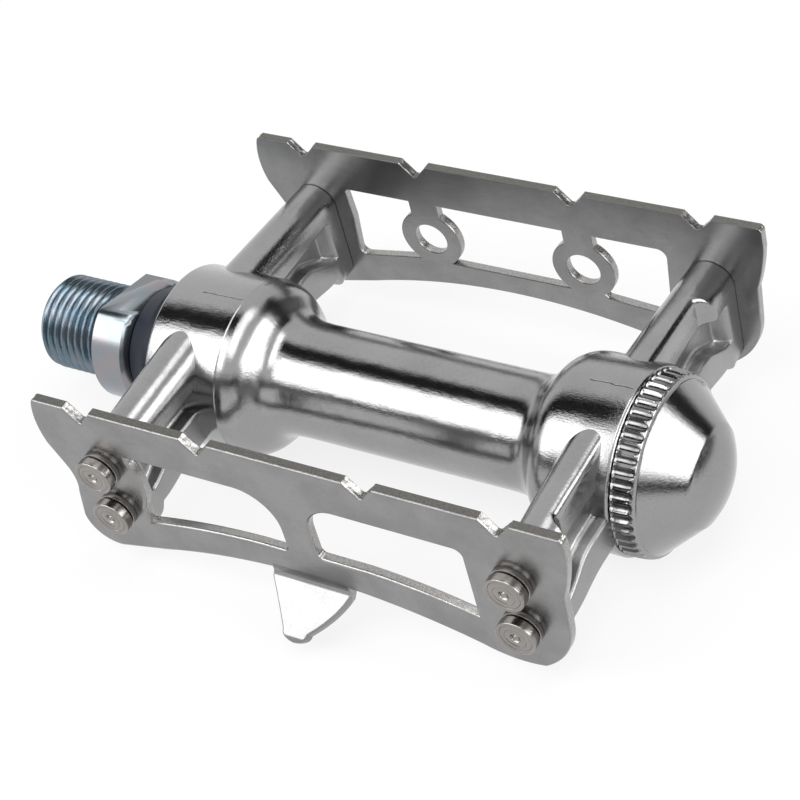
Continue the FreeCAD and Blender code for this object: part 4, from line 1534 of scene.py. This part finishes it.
class Level(Enum):
    """Direction that the long edges of a soft box or card follow."""

    SPINDLE = (1.0, 0.0, 0.0)
    CAGE = (0.0, 1.0, 0.0)


@dataclass(frozen=True)
class Panel:
    """A flat rectangle that hangs round the object and faces it.

    Args:
        name: Name of the panel.
        azimuth: Degrees from -Y towards +X.
        elevation: Degrees over the horizon.
        width: Width in degrees, seen from the object.
        height: Height in degrees, seen from the object.
        level: Direction of its long edges.
        brightness: What a mirror shows of it, where the background is 1.
        distance: Metres from the object.
        lift: Metres that it hangs higher.
    """

    name: str
    azimuth: float
    elevation: float
    width: float
    height: float
    level: Level
    brightness: float
    distance: float = 0.9
    lift: float = 0.0

    def place(self, centre: Vector) -> Matrix:
        """Find where the panel hangs.

        Args:
            centre: Middle of the object.

        Returns:
            Its place, with its local Z away from the object.
        """
        away = heading(self.azimuth, self.elevation)
        along = Vector(self.level.value)
        along = (along - along.dot(away) * away).normalized()
        turn = Matrix((along, away.cross(along), away)).transposed().to_4x4()
        spot = centre + away * self.distance + Vector((0, 0, self.lift))
        return Matrix.Translation(spot) @ turn

    def sides(self) -> tuple[float, float]:
        """Return width and height in metres."""
        return tuple(2 * self.distance * math.tan(math.radians(part / 2))
                     for part in (self.width, self.height))

    def hang_lamp(self, centre: Vector) -> None:
        """Hang the panel as a soft box.

        Args:
            centre: Middle of the object.
        """
        width, height = self.sides()
        data = bpy.data.lights.new(self.name, "AREA")
        data.shape = "RECTANGLE"
        data.size, data.size_y = width, height
        data.energy = self.brightness * math.pi * width * height
        lamp = bpy.data.objects.new(self.name, data)
        lamp.matrix_world = self.place(centre)
        lamp.visible_camera = False
        bpy.context.scene.collection.objects.link(lamp)

    def hang_card(self, centre: Vector) -> None:
        """Hang the panel as a card that only polished metal shows.

        Args:
            centre: Middle of the object.
        """
        width, height = self.sides()
        shape = bmesh.new()
        place = self.place(centre)
        shape.faces.new([shape.verts.new(place @ Vector((x * width / 2, y * height / 2, 0)))
                         for x, y in SQUARE])
        recipe = Recipe(self.name)
        grey = (self.brightness,) * 3 + (1.0,)
        recipe.end_with(recipe.node("ShaderNodeEmission", sockets={"Color": grey, "Strength": 1.0}))
        card = new_piece(self.name, shape, recipe.material)
        card.visible_camera = False
        card.visible_diffuse = False
        card.visible_shadow = False


@dataclass
class Studio:
    """Pale floor, white room, soft boxes and the dark cards that the polished metal mirrors.

    Args:
        floor_size: Side of the floor.
        floor_gap: Room between the object and the floor.
        floor_share: Share of the floor's white that doesn't depend on the light.
        room_fill: Brightness of the room as diffuse light.
        lamps: Soft boxes.
        cards: Dark cards.
        centre: Middle of the object.
    """

    floor_size: float = 6.0
    floor_gap: float = 0.2 * MM
    floor_share: float = 0.82
    room_fill: float = 0.4
    lamps: tuple[Panel, ...] = (
        Panel("front_box", -46.0, 42.0, 56.0, 38.0, Level.SPINDLE, 3.0),
        Panel("cap_box", 94.0, 23.0, 58.0, 30.0, Level.CAGE, 3.4),
        Panel("top_box", 70.0, 77.0, 60.0, 24.0, Level.CAGE, 3.0),
    )
    cards: tuple[Panel, ...] = (
        Panel("overhead_card", -95.0, 62.0, 110.0, 27.0, Level.SPINDLE, 0.03),
        Panel("corner_card", 141.0, 20.0, 30.0, 50.0, Level.CAGE, 0.05),
        Panel("sill_card", 88.0, 0.0, 84.0, 9.4, Level.CAGE, 0.02, 0.2, 0.0022),
    )
    centre: Vector = field(default_factory=lambda: (CAD_LOW + CAD_HIGH) / 2)

    def floor(self) -> None:
        """Lay the floor."""
        half = self.floor_size / 2
        shape = bmesh.new()
        height = CAD_LOW.z - self.floor_gap
        shape.faces.new([shape.verts.new((x * half, y * half, height)) for x, y in SQUARE])
        recipe = Recipe("pale_floor")
        share = recipe.seen_rays() * self.floor_share
        diffuse = recipe.node("ShaderNodeBsdfDiffuse", sockets={"Color": FLOOR_COLOUR})
        white = recipe.node("ShaderNodeEmission", sockets={"Color": WHITE, "Strength": 1.0})
        recipe.end_with(recipe.node("ShaderNodeMixShader", sockets={0: share, 1: diffuse, 2: white}))
        new_piece("floor", shape, recipe.material)

    def room(self) -> None:
        """Fill the room with even light, and show it white to the camera and in the metal."""
        world = bpy.data.worlds.new("white_room")
        bpy.context.scene.world = world
        recipe = Recipe("white_room", world)
        fill = (self.room_fill,) * 3 + (1.0,)
        dim = recipe.node("ShaderNodeBackground", sockets={"Color": fill, "Strength": 1.0})
        white = recipe.node("ShaderNodeBackground", sockets={"Color": WHITE, "Strength": 1.0})
        mixed = recipe.node("ShaderNodeMixShader", sockets={0: recipe.seen_rays(), 1: dim, 2: white})
        recipe.end_with(mixed, "ShaderNodeOutputWorld")

    def build(self) -> None:
        """Set up floor, room, lamps and cards."""
        self.floor()
        self.room()
        for lamp in self.lamps:
            lamp.hang_lamp(self.centre)
        for card in self.cards:
            card.hang_card(self.centre)


@dataclass
class PhotoCamera:
    """The camera of the photograph.

    Args:
        place: Where it stands, in metres.
        right: Its right-hand direction.
        up: Its upward direction.
        lens: Focal length for a 36 mm sensor, in millimetres.
    """

    place: tuple[float, float, float] = (0.20495, -0.17990, 0.21389)
    right: tuple[float, float, float] = (0.8466, 0.4880, -0.2125)
    up: tuple[float, float, float] = (-0.2062, 0.6688, 0.7143)
    lens: float = 103.31

    def build(self) -> None:
        """Make the camera and hand it to the scene."""
        data = bpy.data.cameras.new("photo_camera")
        data.sensor_width = 36.0
        data.lens = self.lens
        data.clip_start, data.clip_end = 0.01, 20.0
        right = Vector(self.right).normalized()
        back = right.cross(Vector(self.up)).normalized()
        up = back.cross(right)
        camera = bpy.data.objects.new("photo_camera", data)
        turn = Matrix((right, up, back)).transposed().to_4x4()
        camera.matrix_world = Matrix.Translation(Vector(self.place)) @ turn
        bpy.context.scene.collection.objects.link(camera)
        bpy.context.scene.camera = camera


def main() -> None:
    """Build every piece in order."""
    bpy.context.scene.view_settings.view_transform = "Standard"
    for part in (PhotoCamera(), Studio(), PlainPieces(), Casting(), TabbedPlate("rear_cage_plate", -1),
                 CagePlate("front_cage_plate", 1), CrankSpindle(), DustCap(), CageRivets()):
        part.build()
        LOG.info("built %s", type(part).__name__)


if __name__ == "__main__":
    main()
